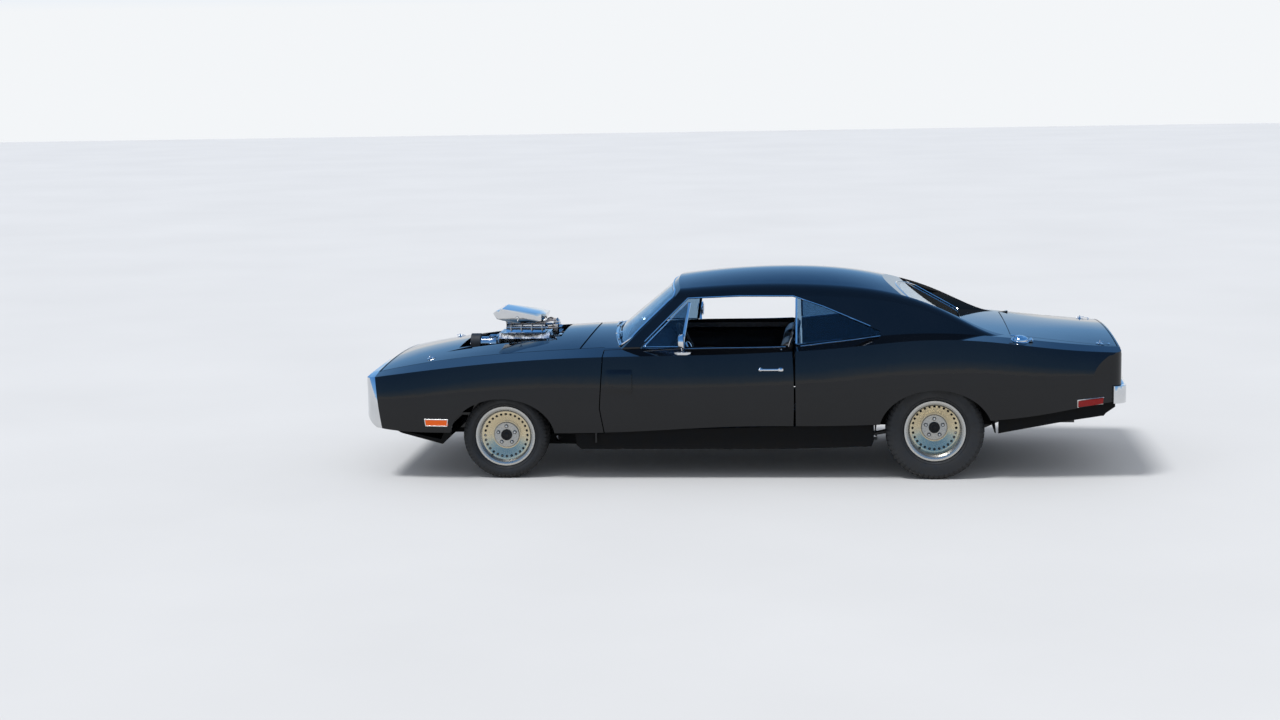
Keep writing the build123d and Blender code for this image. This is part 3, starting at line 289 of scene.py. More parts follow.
def flow(points, per=8):
    """A smooth line through the points, with per steps between two."""
    result = []
    for i in range(len(points) - 1):
        a, b, c = points[max(i - 1, 0)], points[i], points[i + 1]
        d = points[min(i + 2, len(points) - 1)]
        for k in range(per):
            t = k / per
            result.append(0.5 * (2 * b + (c - a) * t + (2 * a - 5 * b + 4 * c - d) * t * t
                                 + (3 * b - 3 * c + d - a) * t * t * t))
    result.append(points[-1])
    return result


# The radius that closes a turned piece on its axis, in millimetres
TIP = 0.1


class Shape:
    """Vertices and faces gathered for one piece. Sizes are in millimetres."""
    def __init__(self):
        self.verts = []
        self.faces = []

    def rings(self, rings, closed=False):
        start = len(self.verts)
        count = len(rings[0])
        for ring in rings:
            self.verts.extend(ring)
        for i in range(len(rings) if closed else len(rings) - 1):
            a = start + i * count
            b = start + ((i + 1) % len(rings)) * count
            for k in range(count):
                n = (k + 1) % count
                self.faces.append((a + k, a + n, b + n, b + k))
        if not closed:
            self.faces.append(tuple(start + k for k in reversed(range(count))))
            self.faces.append(tuple(start + (len(rings) - 1) * count + k for k in range(count)))

    def tube(self, path, radius, sides):
        self.rings(sweep(path, circle(radius, sides)))

    def pipe(self, points, radius, sides, per=0):
        """A tube through places, straight or flowing with per steps between two."""
        path = [at(*point) for point in points]
        self.tube(flow(path, per) if per else path, radius, sides)

    def box(self, middle, size, chamfer, axes=(REAR, RIGHT, UP)):
        u, v, w = axes
        hx, hy, hz = (s / 2000 for s in size)
        c = min(chamfer / 1000, hx * 0.9, hy * 0.9, hz * 0.9)
        rings = []
        for z, inset in ((-hz, c), (-hz + c, 0), (hz - c, 0), (hz, c)):
            ax, ay = hx - inset, hy - inset
            outline = ((-ax + c, -ay), (ax - c, -ay), (ax, -ay + c), (ax, ay - c), (ax - c, ay), (-ax + c, ay),
                       (-ax, ay - c), (-ax, -ay + c))
            rings.append([middle + u * x + v * y + w * z for x, y in outline])
        self.rings(rings)

    def lathe(self, middle, axis, profile, sides, closed=False):
        """A profile point is (distance along the axis, radius)."""
        axis = axis.normalized()
        u = axis.orthogonal().normalized()
        around = spokes(sides, u, axis.cross(u))
        self.rings([[middle + axis * (along / 1000) + spoke * (radius / 1000) for spoke in around]
                    for along, radius in profile], closed)

    def knob(self, middle, axis, profile, sides=48):
        """A lathe piece that is closed onto its axis at both ends."""
        self.lathe(middle, axis, [(profile[0][0], TIP), *profile, (profile[-1][0], TIP)], sides)

    def washer(self, middle, axis, ends, radii, sides):
        """A ring between two distances along the axis and two radii."""
        (low, high), (inner, outer) = ends, radii
        self.lathe(middle, axis, [(low, inner), (low, outer), (high, outer), (high, inner)], sides, closed=True)

    def bolt(self, place, axis, radius, height):
        self.knob(place, axis, [(-0.4, radius * 1.35), (1, radius * 1.35), (1.2, radius), (height, radius),
                                (height + 0.8, radius * 0.8)], 6)

    def sheet(self, grid, height, base=-0.4):
        """A raised sheet over a grid of (point, normal) rows, by height(row, column)."""
        rows, columns = len(grid), len(grid[0])
        start = len(self.verts)
        low = start + rows * columns
        self.verts += [p + n * (height(i, j) / 1000) for i, row in enumerate(grid) for j, (p, n) in enumerate(row)]
        self.verts += [p + n * (base / 1000) for row in grid for p, n in row]
        for i in range(rows - 1):
            for j in range(columns - 1):
                a = i * columns + j
                ring = (a, a + 1, a + columns + 1, a + columns)
                self.faces.append(tuple(start + k for k in ring))
                self.faces.append(tuple(low + k for k in reversed(ring)))
        edge = list(range(columns - 1))
        edge += [i * columns + columns - 1 for i in range(rows - 1)]
        edge += [(rows - 1) * columns + j for j in range(columns - 1, 0, -1)]
        edge += [i * columns for i in range(rows - 1, 0, -1)]
        for a, b in zip(edge, edge[1:] + edge[:1]):
            self.faces.append((start + a, low + a, low + b, start + b))


def tree_of(*names):
    bm = bmesh.new()
    for name in names:
        bm.from_mesh(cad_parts[name].data)
    tree = BVHTree.FromBMesh(bm)
    bm.free()
    return tree


def hit(tree, start, way):
    """Where a ray meets the surface, and the normal that faces the ray."""
    place, normal, _, _ = tree.ray_cast(start, way)
    if place is None:
        return None, None
    return place, (-normal if normal.dot(way) > 0 else normal)


def spread(low, high, count):
    return [low + (high - low) * k / (count - 1) for k in range(count)]


def trapezium(value, low, high, slope):
    """1 between low and high, falling to 0 over slope at either side."""
    return max(0.0, min(1.0, (value - low) / slope + 1, (high - value) / slope + 1))


# Trim that follows the body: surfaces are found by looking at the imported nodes
shell = tree_of("quarters_roof")
screen = tree_of("windscreen")
back_glass = tree_of("rear_window")
door_tree = tree_of("door_left")

# Rays start outside the car: left of it, above it, ahead of the windscreen and behind the rear window
LEFT_OF_CAR, ABOVE_CAR = -1400, 1700
AHEAD, BEHIND = -1.6, 2.6
HALVINGS = 18


def side_point(tree, x, z):
    """The left side's surface at (x, z), and its outward normal."""
    return hit(tree, at(x, LEFT_OF_CAR, z), RIGHT)


def top_point(tree, x, y):
    return hit(tree, at(x, y, ABOVE_CAR), -UP)


def glass_edge(tree, cast_from, outer, inner, way=REAR):
    """Between outer, which misses the glass, and inner, which hits it, the last hit."""
    for _ in range(HALVINGS):
        middle = (outer + inner) / 2
        if tree.ray_cast(cast_from(middle), way)[0] is None:
            outer = middle
        else:
            inner = middle
    return tree.ray_cast(cast_from(inner), way)[0]


def screen_point(y, low, high):
    return glass_edge(screen, lambda z: vec(AHEAD, y, z), low, high)


def back_point(y, outer, inner):
    return glass_edge(back_glass, lambda z: vec(BEHIND, y, z), outer, inner, -REAR)


def windscreen_trim():
    """Bright surround of the windscreen, round at its lower corners."""
    side = [glass_edge(screen, lambda y: vec(AHEAD, y, z), -1.0, 0.0) for z in spread(0.960, 1.265, 12)]
    top = [screen_point(side[-1].y * t, 1.45, side[-1].z - 0.02) for t in (0.97, 0.8, 0.6, 0.4, 0.2, 0.0)]
    low = [screen_point(side[0].y * t, 0.80, 1.02) for t in (0.0, 0.2, 0.4, 0.6, 0.8, 0.93, 0.975)]
    path = flow([p + vec(-0.006, -0.004, 0.004) for p in low + side + top if p], 3)
    shape = Shape()
    shape.rings(sweep(path, [(x * 1.3, y) for x, y in circle(8.0, 8)]))
    both("windscreen_trim", shape, chrome)


def rear_window_trim():
    """Bright line round the rear window, found from behind."""
    side = [glass_edge(back_glass, lambda y: vec(BEHIND, y, z), -0.95, 0.0, -REAR) for z in spread(1.03, 1.225, 9)]
    side = [p for p in side if p]
    top = [back_point(side[-1].y * t, 1.45, side[-1].z - 0.02) for t in (0.94, 0.8, 0.6, 0.4, 0.2, 0.0)]
    low = [back_point(side[0].y * t, 0.90, side[0].z + 0.02) for t in (0.0, 0.2, 0.4, 0.6, 0.8, 0.94)]
    shape = Shape()
    shape.tube(flow([p + vec(0.006, 0, 0.004) for p in low + side + top if p], 2), 5.0, 8)
    both("rear_window_trim", shape, chrome)


# The side window opening in the roof, as (x, z), from the pillar's foot to the quarter window's tip
WINDOW_LINE = [(985, 943), (1279, 1228), (1640, 1241), (2006, 1238), (2215, 1168), (2600, 1010)]
QUARTER_SILL = [(2604, 977), (2450, 959), (2250, 937), (2060, 916)]
RAIL_GAP = 5


def side_line(name, spots, radius):
    """A bright line on the roof's side through (x, z) spots, 1 mm out."""
    found = [side_point(shell, x, z) for x, z in spots]
    shape = Shape()
    shape.tube([place + normal * 0.001 for place, normal in found if place], radius, 8)
    both(name, shape, chrome)


def window_trims():
    """Drip rail outside the window line, sill line and post of the quarter window, belt strip of the door."""
    spots = []
    for (xa, za), (xb, zb) in zip(WINDOW_LINE, WINDOW_LINE[1:]):
        steps = max(2, int(abs(xb - xa) / 60))
        run = hypot(xb - xa, zb - za)
        for t in (k / steps for k in range(steps)):
            spots.append((xa + (xb - xa) * t - (zb - za) / run * RAIL_GAP,
                          za + (zb - za) * t + (xb - xa) / run * RAIL_GAP))
    side_line("drip_rail", spots, 4.2)
    side_line("quarter_window_sill_trim", QUARTER_SILL, 3.0)

    post = Shape()
    foot, head = at(2030, -789, 925), at(2030, -654, 1232)
    way = (head - foot).normalized()
    post.box((foot + head) / 2, (14, 9, 330), 2.5, (REAR, way.cross(REAR).normalized(), way))
    both("quarter_window_post", post, chrome)

    belt = Shape()
    found = [hit(door_tree, at(x, -806, 1100), -UP)[0] for x in spread(1255, 2008, 16)]
    belt.tube([place + UP * 0.002 for place in found if place], 2.6, 8)
    both("door_belt_strip", belt, chrome, "door")


def on_pane(x, z):
    """A place on the vent pane, which leans inwards with height."""
    return at(x, -(793 - (z - 900) * 0.40), z)


def vent_frames():
    shape = Shape()
    shape.tube([on_pane(976, 914), on_pane(1272, 1204)], 5.0, 8)
    shape.tube([on_pane(976, 914), on_pane(1240, 914)], 4.0, 8)
    foot, head = on_pane(1242, 912), on_pane(1292, 1208)
    way = (head - foot).normalized()
    shape.box((foot + head) / 2, (20, 10, (head - foot).length * 1000), 3,
              (REAR - way * way.x, way.cross(REAR).normalized(), way))
    both("vent_frame", shape, chrome, "door")


def door_handles():
    """A bar on two feet, with the push button at its rear end."""
    shape = Shape()
    ends = []
    for x in (1790, 1925):
        point, normal = side_point(door_tree, x, 774)
        ends.append(point)
        shape.lathe(point - normal * 0.002, normal, [(0, TIP), (0, 13), (6, 13), (9, 10), (16, 8)], 24)
    front, rear = ends
    out = vec(0, -0.020, 0)
    bar = flow([front + out + vec(-0.012, 0, 0.002), front + out * 1.2, (front + rear) / 2 + out * 1.35,
                rear + out * 1.2], 6)
    shape.rings(sweep(bar, [(x * 0.6, y) for x, y in circle(7, 12)]))
    shape.box(rear + out * 1.05 + vec(0.002, 0, 0), (36, 17, 25), 5)
    shape.knob(rear + out * 1.4 + vec(0.004, 0, 0), -RIGHT, [(0, 9), (4, 9), (5, 7)], 24)
    both("door_handle", shape, chrome, "door")


def marker_bezels():
    """A flat bright frame round each lamp, following the bend of the body."""
    for name, nodes, high, low in (
        ("front", ("wing_left", "side_markers", "nose_loop"),
         [(-552, 437), (-467, 436), (-380, 435)], [(-546, 383), (-467, 382), (-390, 381)]),
        ("rear", ("quarters_roof", "side_markers", "rear_apron"),
         [(3922, 556), (4011, 565), (4102, 573)], [(3924, 499), (4012, 508), (4100, 516)]),
    ):
        tree = tree_of(*nodes)
        edges = [[side_point(tree, x, z)[0] or at(x, -900, z) for x, z in points] for points in (high, low)]
        width = (edges[0][2] - edges[0][0]).length * 1000
        height = (edges[0][0] - edges[1][0]).length * 1000

        def surface(u, v):
            """On the lamp's face: u runs rearwards along it, v from its upper to its lower edge."""
            row = [a * (1 - u) * (1 - 2 * u) + b * 4 * u * (1 - u) + c * u * (2 * u - 1) for a, b, c in edges]
            return row[0] * (1 - v) + row[1] * v

        rings = []
        for inward, lift in ((0, -2), (0, 3), (1.5, 5), (6.5, 5), (8, 3), (8, -2)):
            u, v = inward / width, inward / height
            loop = [(u + (1 - 2 * u) * k / 8, v) for k in range(8)] + [(1 - u, v)]
            loop += [(1 - u - (1 - 2 * u) * k / 8, 1 - v) for k in range(8)] + [(u, 1 - v)]
            rings.append([surface(*place) + vec(0, -lift / 1000, 0) for place in loop])
        shape = Shape()
        shape.rings(rings, closed=True)
        both("marker_bezel_" + name, shape, bezel_metal)


def fuel_cap():
    """The cap with its hinge, lever and a ring of eight screws."""
    shape = Shape()
    point, normal = top_point(shell, 3548, -815)
    shape.knob(point - normal * 0.002, normal, [(0, 62), (3, 63), (7, 60), (8, 52), (18, 50), (24, 46), (28, 38),
                                                (29, 20), (32, 18), (34, 12)])
    side = normal.cross(RIGHT).normalized()
    if side.x < 0:
        side = -side
    across = normal.cross(side)
    hinge = point + side * 0.072 + normal * 0.008
    shape.box(hinge, (26, 46, 14), 4, (side, across, normal))
    shape.tube([hinge - across * 0.026 + normal * 0.006, hinge + across * 0.026 + normal * 0.006], 7, 12)
    shape.box(point - side * 0.05 + normal * 0.028, (44, 14, 6), 2, (side, across, normal))
    for spoke in spokes(8, side, across):
        shape.lathe(point + spoke * 0.056 + normal * 0.006, normal, [(0, TIP), (0, 3.4), (2.4, 3.0), (2.8, TIP)], 10)
    add("fuel_filler_cap", shape, chrome)


PIN = [(0, TIP), (0, 24), (1.6, 24.5), (2.6, 23), (2.8, 11), (5, 10), (6, 6), (14, 5.6), (15, 4.6), (22, 4.4),
       (23, TIP)]
# The clip through a pin, as (rearward, to the right), and its lanyard, as (rearward, to the right, up), in metres
CLIP = [(-0.024, 0.0), (0.004, 0.0), (0.026, 0.004), (0.030, 0.0), (0.026, -0.007), (0.0, -0.007), (-0.022, -0.009)]
LANYARD = [(0.062, 0.0, 0.004), (0.050, 0.012, 0.004), (0.036, 0.006, 0.006), (0.030, 0.0, 0.010)]


def lid_pins():
    for name, body, x, reach in (("hood_pins", "hood", -560, 590), ("deck_pins", "deck_lid", 4090, 690)):
        tree = tree_of(body)
        shape = Shape()
        for y in (-reach, reach):
            point, normal = top_point(tree, x, y)
            shape.lathe(point - normal * 0.001, normal, PIN, 32)
            clip = [point + normal * 0.010 + REAR * a + RIGHT * b for a, b in CLIP]
            shape.tube(flow(clip, 4), 1.6, 6)
            shape.lathe(point + REAR * 0.062 - normal * 0.001, normal, [(0, TIP), (0, 8), (3, 7), (4, TIP)], 16)
            shape.tube(flow([point + REAR * a + RIGHT * b + normal * c for a, b, c in LANYARD], 4), 1.0, 6)
        add(name, shape, chrome, body)


def door_scoops():
    """The shallow false air scoop on the front of each door, open towards the rear, with a near-black sheet in its
    mouth as painted shade.
    """
    front, rear = 716, 905
    xs = spread(front, rear, 20)
    zs = spread(602, 776, 15)

    def height(i, j):
        rise = (xs[i] - front) / (rear - front)
        band = trapezium(zs[j], 632 + 14 * (1 - rise), 748 + 6 * rise, 22)
        lip = trapezium(xs[i], 740, 899, 22)
        return 1.2 + band * lip * (4 + 13 * rise ** 0.8)

    shape = Shape()
    shape.sheet([[side_point(door_tree, x, z) for z in zs] for x in xs], height)
    both("door_scoop", shape, paint, "door")
    # A near-black sheet filling the scoop's rear opening: painted shade where the opening lies in shadow
    mouth = Shape()
    mouth.sheet([[side_point(door_tree, x, z) for z in spread(640, 744, 9)] for x in (899, 906)],
                lambda i, j: 11 if 0 < j < 8 else 6)
    both("door_scoop_mouth", mouth, scoop_mouth_shade, "door")


def wipers():
    cowl = tree_of("bulkhead_and_cowl")
    arms = Shape()
    blades = Shape()
    for pivot_y, tip_y in ((-330, -600), (120, -150)):
        foot, _ = top_point(cowl, 792, pivot_y)
        arms.knob(foot - UP * 0.004, UP, [(0, 17), (6, 17), (12, 13), (22, 11), (26, 8)], 20)
        path = []
        for t in spread(0, 1, 9):
            point = screen_point((pivot_y + 30 + (tip_y - pivot_y - 60) * t) / 1000, 0.80, 1.02)
            if point:
                path.append(point + vec(-0.010, 0, 0.014 + 0.012 * t))
        blades.rings(sweep(path, [(-0.003, -0.006), (-0.003, 0.005), (0.003, 0.005), (0.003, -0.006)]))
        grip = path[len(path) // 2]
        arm = flow([foot + UP * 0.018, foot + (grip - foot) * 0.4 + UP * 0.014, grip + vec(-0.006, 0, 0.010)], 6)
        arms.rings(sweep(arm, [(x * 1.6, y * 0.6) for x, y in circle(5, 8)]))
        arms.rings(sweep(path, [(-0.004, 0.005), (-0.004, 0.009), (0.004, 0.009), (0.004, 0.005)]))
    add("wiper_arms", arms, chrome)
    add("wiper_blades", blades, belt_rubber)


def tail_lamp_details():
    """Bright frames round the tail lamps, the bars that divide them, and the lock between them."""
    frames = Shape()
    bars = Shape()
    inner, outer, low, high, cut = 52, 788, 697, 793, 12
    middle_y, middle_z = (inner + outer) / 2, (low + high) / 2
    corners = [(inner + cut, low), (outer - cut, low), (outer, low + cut), (outer, high - cut), (outer - cut, high),
               (inner + cut, high), (inner, high - cut), (inner, low + cut)]
    for side in (-1, 1):
        frames.rings([[
            at(x, side * (y - shrink * (1 if y > middle_y else -1)), z + shrink * (1 if z < middle_z else -1))
            for y, z in corners
        ] for x, shrink in ((4188, 0), (4222, 0), (4226, 3), (4226, 7), (4221, 9), (4190, 9))], closed=True)
        for k in range(1, 12):
            bars.box(at(4223, side * (60 + 60 * k), middle_z), (5, 3, 78), 1.2)
        bars.box(at(4223, side * middle_y, middle_z), (5, 716, 3), 1.2)
    frames.knob(at(4189, 0, middle_z), REAR, [(0, 19), (9, 19), (12, 15)], 28)
    add("tail_lamp_frames", frames, chrome)
    add("tail_lamp_bars", bars, plastic)


LAMP_OUTLINE = ((-1, -0.7), (-0.9, -1), (0.9, -1), (1, -0.7), (1, 0.7), (0.9, 1), (-0.9, 1), (-1, 0.7))


def apron_lamps():
    """Parking lamps in the front apron and reversing lamps in the rear bumper."""
    apron = tree_of("front_apron")
    bumper = tree_of("rear_bumper")
    lamps, rims, backs = Shape(), Shape(), Shape()
    for side in (-1, 1):
        place, normal = hit(apron, at(-1400, side * 560, 345), REAR)
        across = UP.cross(normal).normalized()
        lift = normal.cross(across)
        lamps.box(place + normal * 0.004, (150, 36, 14), 6, (across, lift, normal))
        rims.rings([[place + across * (x * (81 - s) / 1000) + lift * (z * (24 - s) / 1000) + normal * (h / 1000)
                     for x, z in LAMP_OUTLINE] for s, h in ((0, -1), (0, 9), (3, 12), (6, 9), (6, -1))], closed=True)
        place, normal = hit(bumper, at(4600, side * 520, 588), -REAR)
        across = UP.cross(normal).normalized()
        backs.box(place - normal * 0.003, (150, 44, 8), 3, (across, normal.cross(across), normal))
    add("parking_lamps", lamps, white_lens)
    add("parking_lamp_rims", rims, chrome)
    add("reversing_lamps", backs, white_lens)


def mirror_faces():
    shape = Shape()
    shape.lathe(at(1250 + 46 * 0.38 - 0.4, -955, 972), REAR, [(0, TIP), (0, 45.5), (1.2, 45.5), (2.2, 43), (2.6, TIP)],
                40)
    both("mirror_glass", shape, mirror_finish, "door")
    screws = Shape()
    for x in (1222, 1282):
        screws.knob(at(x, -872, 884), UP, [(0, 5), (4, 4.5), (5, 2)], 12)
    both("mirror_screws", screws, chrome, "door")


def soften_edges(name, node, width, steps):
    """The node's own form with its sharp edges rounded."""
    bm = bmesh.new()
    bm.from_mesh(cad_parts[node].data)
    bmesh.ops.remove_doubles(bm, verts=bm.verts, dist=1e-5)
    bmesh.ops.dissolve_limit(bm, angle_limit=radians(0.8), verts=bm.verts, edges=bm.edges)
    mesh = bpy.data.meshes.new(name)
    bm.to_mesh(mesh)
    bm.free()
    mesh.materials.append(BY_NODE[node])
    obj = link(name, mesh)
    mesh.shade_smooth()
    bevel = obj.modifiers.new("bevel", "BEVEL")
    bevel.width = width / 1000
    bevel.segments = steps
    bevel.limit_method = "ANGLE"
    bevel.angle_limit = radians(24)
    bevel.harden_normals = True
    bpy.context.view_layer.objects.active = obj
    bpy.ops.object.modifier_apply(modifier="bevel")
    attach(obj, "body")
    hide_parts(node)


for dress in (windscreen_trim, rear_window_trim, window_trims, vent_frames, door_handles, marker_bezels, fuel_cap,
              lid_pins, door_scoops, wipers, tail_lamp_details, apron_lamps, mirror_faces):
    dress()
soften_edges("polished_hat", "intake_scoop", 7, 4)
soften_edges("bright_nose_loop", "nose_loop", 7, 3)
soften_edges("bright_rear_bumper", "rear_bumper", 9, 3)


# Wheels
WHEEL_MIDDLE = 752
RIM_LIP = 208
RIM_HOLES = 28
WIDE_TYRE = 240
GROOVE, CROSS_GROOVE = 8, 6.5
# Radii of the circles on which nuts, holes and valve stand, in metres
NUT_CIRCLE, HOLE_CIRCLE, VALVE_CIRCLE = 0.061, 0.141, 0.166
# How far the hub's cap and its middle stand off the nuts' seat
HUB_CAP, HUB_MIDDLE = 4.3, 7.3
WHEELS = {
    # x of the axle, tyre radius, tyre width, rim width, dish
    "front": (0, 296, 195, 156, 58),
    "rear": (2972, 336, 285, 262, 150),
}


def wheel_dressing(name, side, x, radius, width, rim_width, dish):
    body = "wheel_" + name
    out = vec(0, side, 0)
    hub = at(x, side * WHEEL_MIDDLE, radius)
    face = rim_width / 2 - dish
    nuts = Shape()
    dark = Shape()
    for spoke in spokes(5, REAR, UP, pi / 2):
        spot = hub + spoke * NUT_CIRCLE + out * (face / 1000)
        nuts.knob(spot, out, [(-5, 12), (-3, 12), (-1, 9.5), (9, 9.5), (13, 7), (13, 4.5), (10, 4)], 6)
        # A thin black ring round each nut's foot: painted shade in the gap round the nut
        dark.lathe(spot, out, [(-5, 12.2), (-4.2, 13.9), (-4.8, 13.9), (-5, 12.2)], 24, closed=True)
    dark.knob(hub + out * ((face + HUB_CAP) / 1000), out, [(0, 38.6), (5, 38.6), (8, 35), (8, 27), (3, 25)], 40)
    dark.knob(hub + out * ((face + HUB_MIDDLE) / 1000), out, [(0, 15), (4, 15), (6, 12)], 24)
    rim_tree = tree_of("rim_" + name)
    for spoke in spokes(RIM_HOLES, REAR, UP):
        place, normal = hit(rim_tree, hub + spoke * HOLE_CIRCLE + out * 0.3, -out)
        slope = (spoke - normal * spoke.dot(normal)).normalized()
        # A black ring round each rim hole: painted shade that makes the hole's dark wider
        dark.washer(place + slope * 0.009, normal, (-1, 0.8), (5.6, 9.2), 16)
    valve = hub + vec(cos(-2.2), 0, sin(-2.2)) * VALVE_CIRCLE + out * ((face + 24) / 1000)
    dark.lathe(valve - out * 0.004, out, [(0, TIP), (0, 5), (14, 4), (16, 5), (24, 5), (25, TIP)], 12)
    add("lug_nuts_" + name, nuts, polished, body)
    add("hub_centre_and_painted_shade_" + name, dark, hub_cap_and_shade_black, body)
    tyre_with_tread(name, body, out, hub, radius, width, rim_width)


def tyre_with_tread(name, body, out, hub, radius, width, rim_width):
    half = width / 2
    seat = rim_width / 2 - 9
    wide = width > WIDE_TYRE
    # (across, radius, whether it is tread that the cross grooves cut)
    wall = [(-seat, 190.6, 0), (-seat, RIM_LIP + 2, 0), (-half + 10, RIM_LIP + 14, 0), (-half + 5, RIM_LIP + 21, 0),
            (-half + 7, RIM_LIP + 24, 0), (-half + 1, RIM_LIP + 34, 0), (-half, (RIM_LIP + radius) / 2 + 6, 0),
            (-half + 2, radius - 34, 0), (-half + 1, radius - 30, 1), (-half + 9, radius - 11, 1),
            (-half + 20, radius - 3, 1)]
    ribs = 6 if wide else 4
    inner = half - 34
    profile = [*wall, (-inner - 3, radius - 0.6, 1)]
    for y in spread(-inner, inner, ribs + 1):
        profile += [(y - 3.2, radius - 0.2, 1), (y - 2.2, radius - GROOVE, 0), (y + 2.2, radius - GROOVE, 0),
                    (y + 3.2, radius - 0.2, 1)]
    profile.append((inner + 3.5, radius - 0.6, 1))
    profile += [(-y, r, cut) for y, r, cut in reversed(wall)]
    blocks = 56 if wide else 64
    step = 2 * pi / blocks
    v = out.cross(REAR)
    rings = []
    for b in range(blocks):
        for part, cut in ((0.0, False), (0.80, False), (0.83, True), (0.97, True)):
            ring = []
            for y, r, is_tread in profile:
                t = step * (b + part + 0.9 * abs(y) / half)
                depth = CROSS_GROOVE if cut and is_tread and abs(y) > inner * 0.15 else 0.0
                ring.append(hub + out * (y / 1000) + (REAR * cos(t) + v * sin(t)) * ((r - depth) / 1000))
            rings.append(ring)
    shape = Shape()
    shape.rings(rings, closed=True)
    obj = add("tyre_tread_" + name, shape, tyre_rubber, body)
    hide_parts("tyre_" + name)


for end, row in WHEELS.items():
    for side_name, side_way in SIDES:
        wheel_dressing(end + "_" + side_name, side_way, *row)


# Engine
# Heights of the blower's and the crankshaft's pulley, and the x of their faces
PULLEY_TOP, PULLEY_LOW, PULLEY_FACE = 842, 470, -364
# The line that the fuel rails follow, and x and spacing of what stands on them
RAIL_Y, RAIL_Z = 107, 966
FIRST_INJECTOR, INJECTOR_STEP = -55, 76
# Bolts of the blower's end plates, as (y, z) of one half
HALF_FLANGE = ((128, 858), (128, 884), (100, 908), (60, 918), (118, 820))


def blower_dressing():
    """Bolts of the end plates, the base and the snout, and the ribs of the snout."""
    bolts = Shape()
    for x, axis in ((-140, -REAR), (227, REAR)):
        for y, z in HALF_FLANGE:
            for side in (-1, 1):
                bolts.bolt(at(x, side * y, z), axis, 5, 6)
    for spoke in spokes(6, RIGHT, UP):
        bolts.bolt(at(-178, 0, PULLEY_TOP) + spoke * 0.066, -REAR, 4, 6)
        bolts.box(at(-206, 0, PULLEY_TOP) + spoke * 0.056, (54, 5, 24), 2, (REAR, REAR.cross(spoke), spoke))
    for y in (-68, 68):
        for z in (846, 892):
            bolts.bolt(at(300, y, z), REAR, 4, 5)
    for side in (-1, 1):
        for k in range(9):
            bolts.bolt(at(-120 + 42 * k, side * 118, 798), vec(0, side * 0.2, 1).normalized(), 4.5, 6)
    add("blower_bolts", bolts, chrome)


def injection():
    """Fuel rails with their injectors, braided lines and the block that feeds them."""
    rail = Shape()
    for side in (-1, 1):
        y = side * RAIL_Y
        rail.pipe([(-90, y, RAIL_Z), (215, y, RAIL_Z)], 9, 12)
        for x in (FIRST_INJECTOR + INJECTOR_STEP * k for k in range(4)):
            rail.knob(at(x, y, 944), UP, [(0, 6), (12, 6), (14, 9), (32, 9), (34, 5), (44, 5)], 8)
            rail.knob(at(x, y, RAIL_Z), RIGHT * side, [(0, 8), (14, 8), (16, 5), (20, 5)], 8)
    add("fuel_rails", rail, polished)

    lines = Shape()
    for side in (-1, 1):
        for k in range(4):
            x = FIRST_INJECTOR + INJECTOR_STEP * k
            lines.pipe([(x, side * RAIL_Y, 986), (x + 20, side * (RAIL_Y + 12), 1000),
                        (150 + 14 * k, side * (118 - 9 * k), 1000 + 3 * k),
                        (226, side * (78 - 12 * k), 1010 + 4 * k), (262, side * (46 - 10 * k), 1006 - 3 * k),
                        (272, side * (40 - 9 * k), 984)], 3.8, 7, 6)
        lines.pipe([(215, side * RAIL_Y, RAIL_Z), (244, side * 108, 964), (262, side * 84, 958), (270, side * 60, 952)],
                   7, 9, 6)
    lines.pipe([(262, 30, 925), (330, 60, 900), (420, 150, 840), (560, 300, 760), (632, 330, 740)], 8, 9, 6)
    add("injector_lines", lines, hose)

    block = Shape()
    block.box(at(264, 0, 950), (48, 120, 88), 8)
    for y in (-45, -15, 15, 45):
        for z in (930, 962):
            block.knob(at(288, y, z), REAR, [(0, 9), (8, 9), (9, 6), (18, 6)], 8)
    block.box(at(266, 0, 1000), (36, 96, 14), 3)
    for y in range(-40, 41, 20):
        block.knob(at(266, y, 1004), UP, [(0, 7), (10, 7), (12, 4), (16, 4)], 8)
    add("fuel_distributor", block, polished)


def pulley_caps():
    cap = Shape()
    cap.knob(at(PULLEY_FACE, 0, PULLEY_TOP), -REAR, [(-1, 52), (2, 52), (3, 40), (3, 22), (10, 20), (14, 14)], 36)
    cap.knob(at(PULLEY_FACE, 0, PULLEY_LOW), -REAR, [(-1, 60), (2, 60), (4, 50), (4, 24), (12, 20)], 36)
    for z, reach in ((PULLEY_TOP, 46), (PULLEY_LOW, 40)):
        for spoke in spokes(6, RIGHT, UP):
            cap.bolt(at(PULLEY_FACE - 2, 0, z) + spoke * (reach / 1000), -REAR, 5, 5)
    add("pulley_caps", cap, polished)


def throttles():
    """Butterflies and rims in the hat's three bores, with the bolts and levers at its sides."""
    hat = Shape()
    for y in (-64, 0, 64):
        hat.lathe(at(-101, y, 1060), -REAR, [(-1, 17.2), (-1, 22), (2, 21), (3, 18.5), (1, 17.2)], 28, closed=True)
        hat.knob(at(-84, y, 1060), vec(-0.9, 0, 0.44), [(-1, 16.4), (1, 16.4)], 28)
        hat.pipe([(-84, y - 20, 1060), (-84, y + 20, 1060)], 2.2, 8)
    for side in (-1, 1):
        for x in (-70, 0, 70, 150):
            hat.bolt(at(x, side * 92, 975), RIGHT * side, 4, 4)
        hat.pipe([(-10, side * 150, 1046), (-10, side * 157, 1046)], 7, 12)
        hat.box(at(2, side * 155, 1034), (10, 4, 34), 1.5)
    add("intake_throttles", hat, polished)


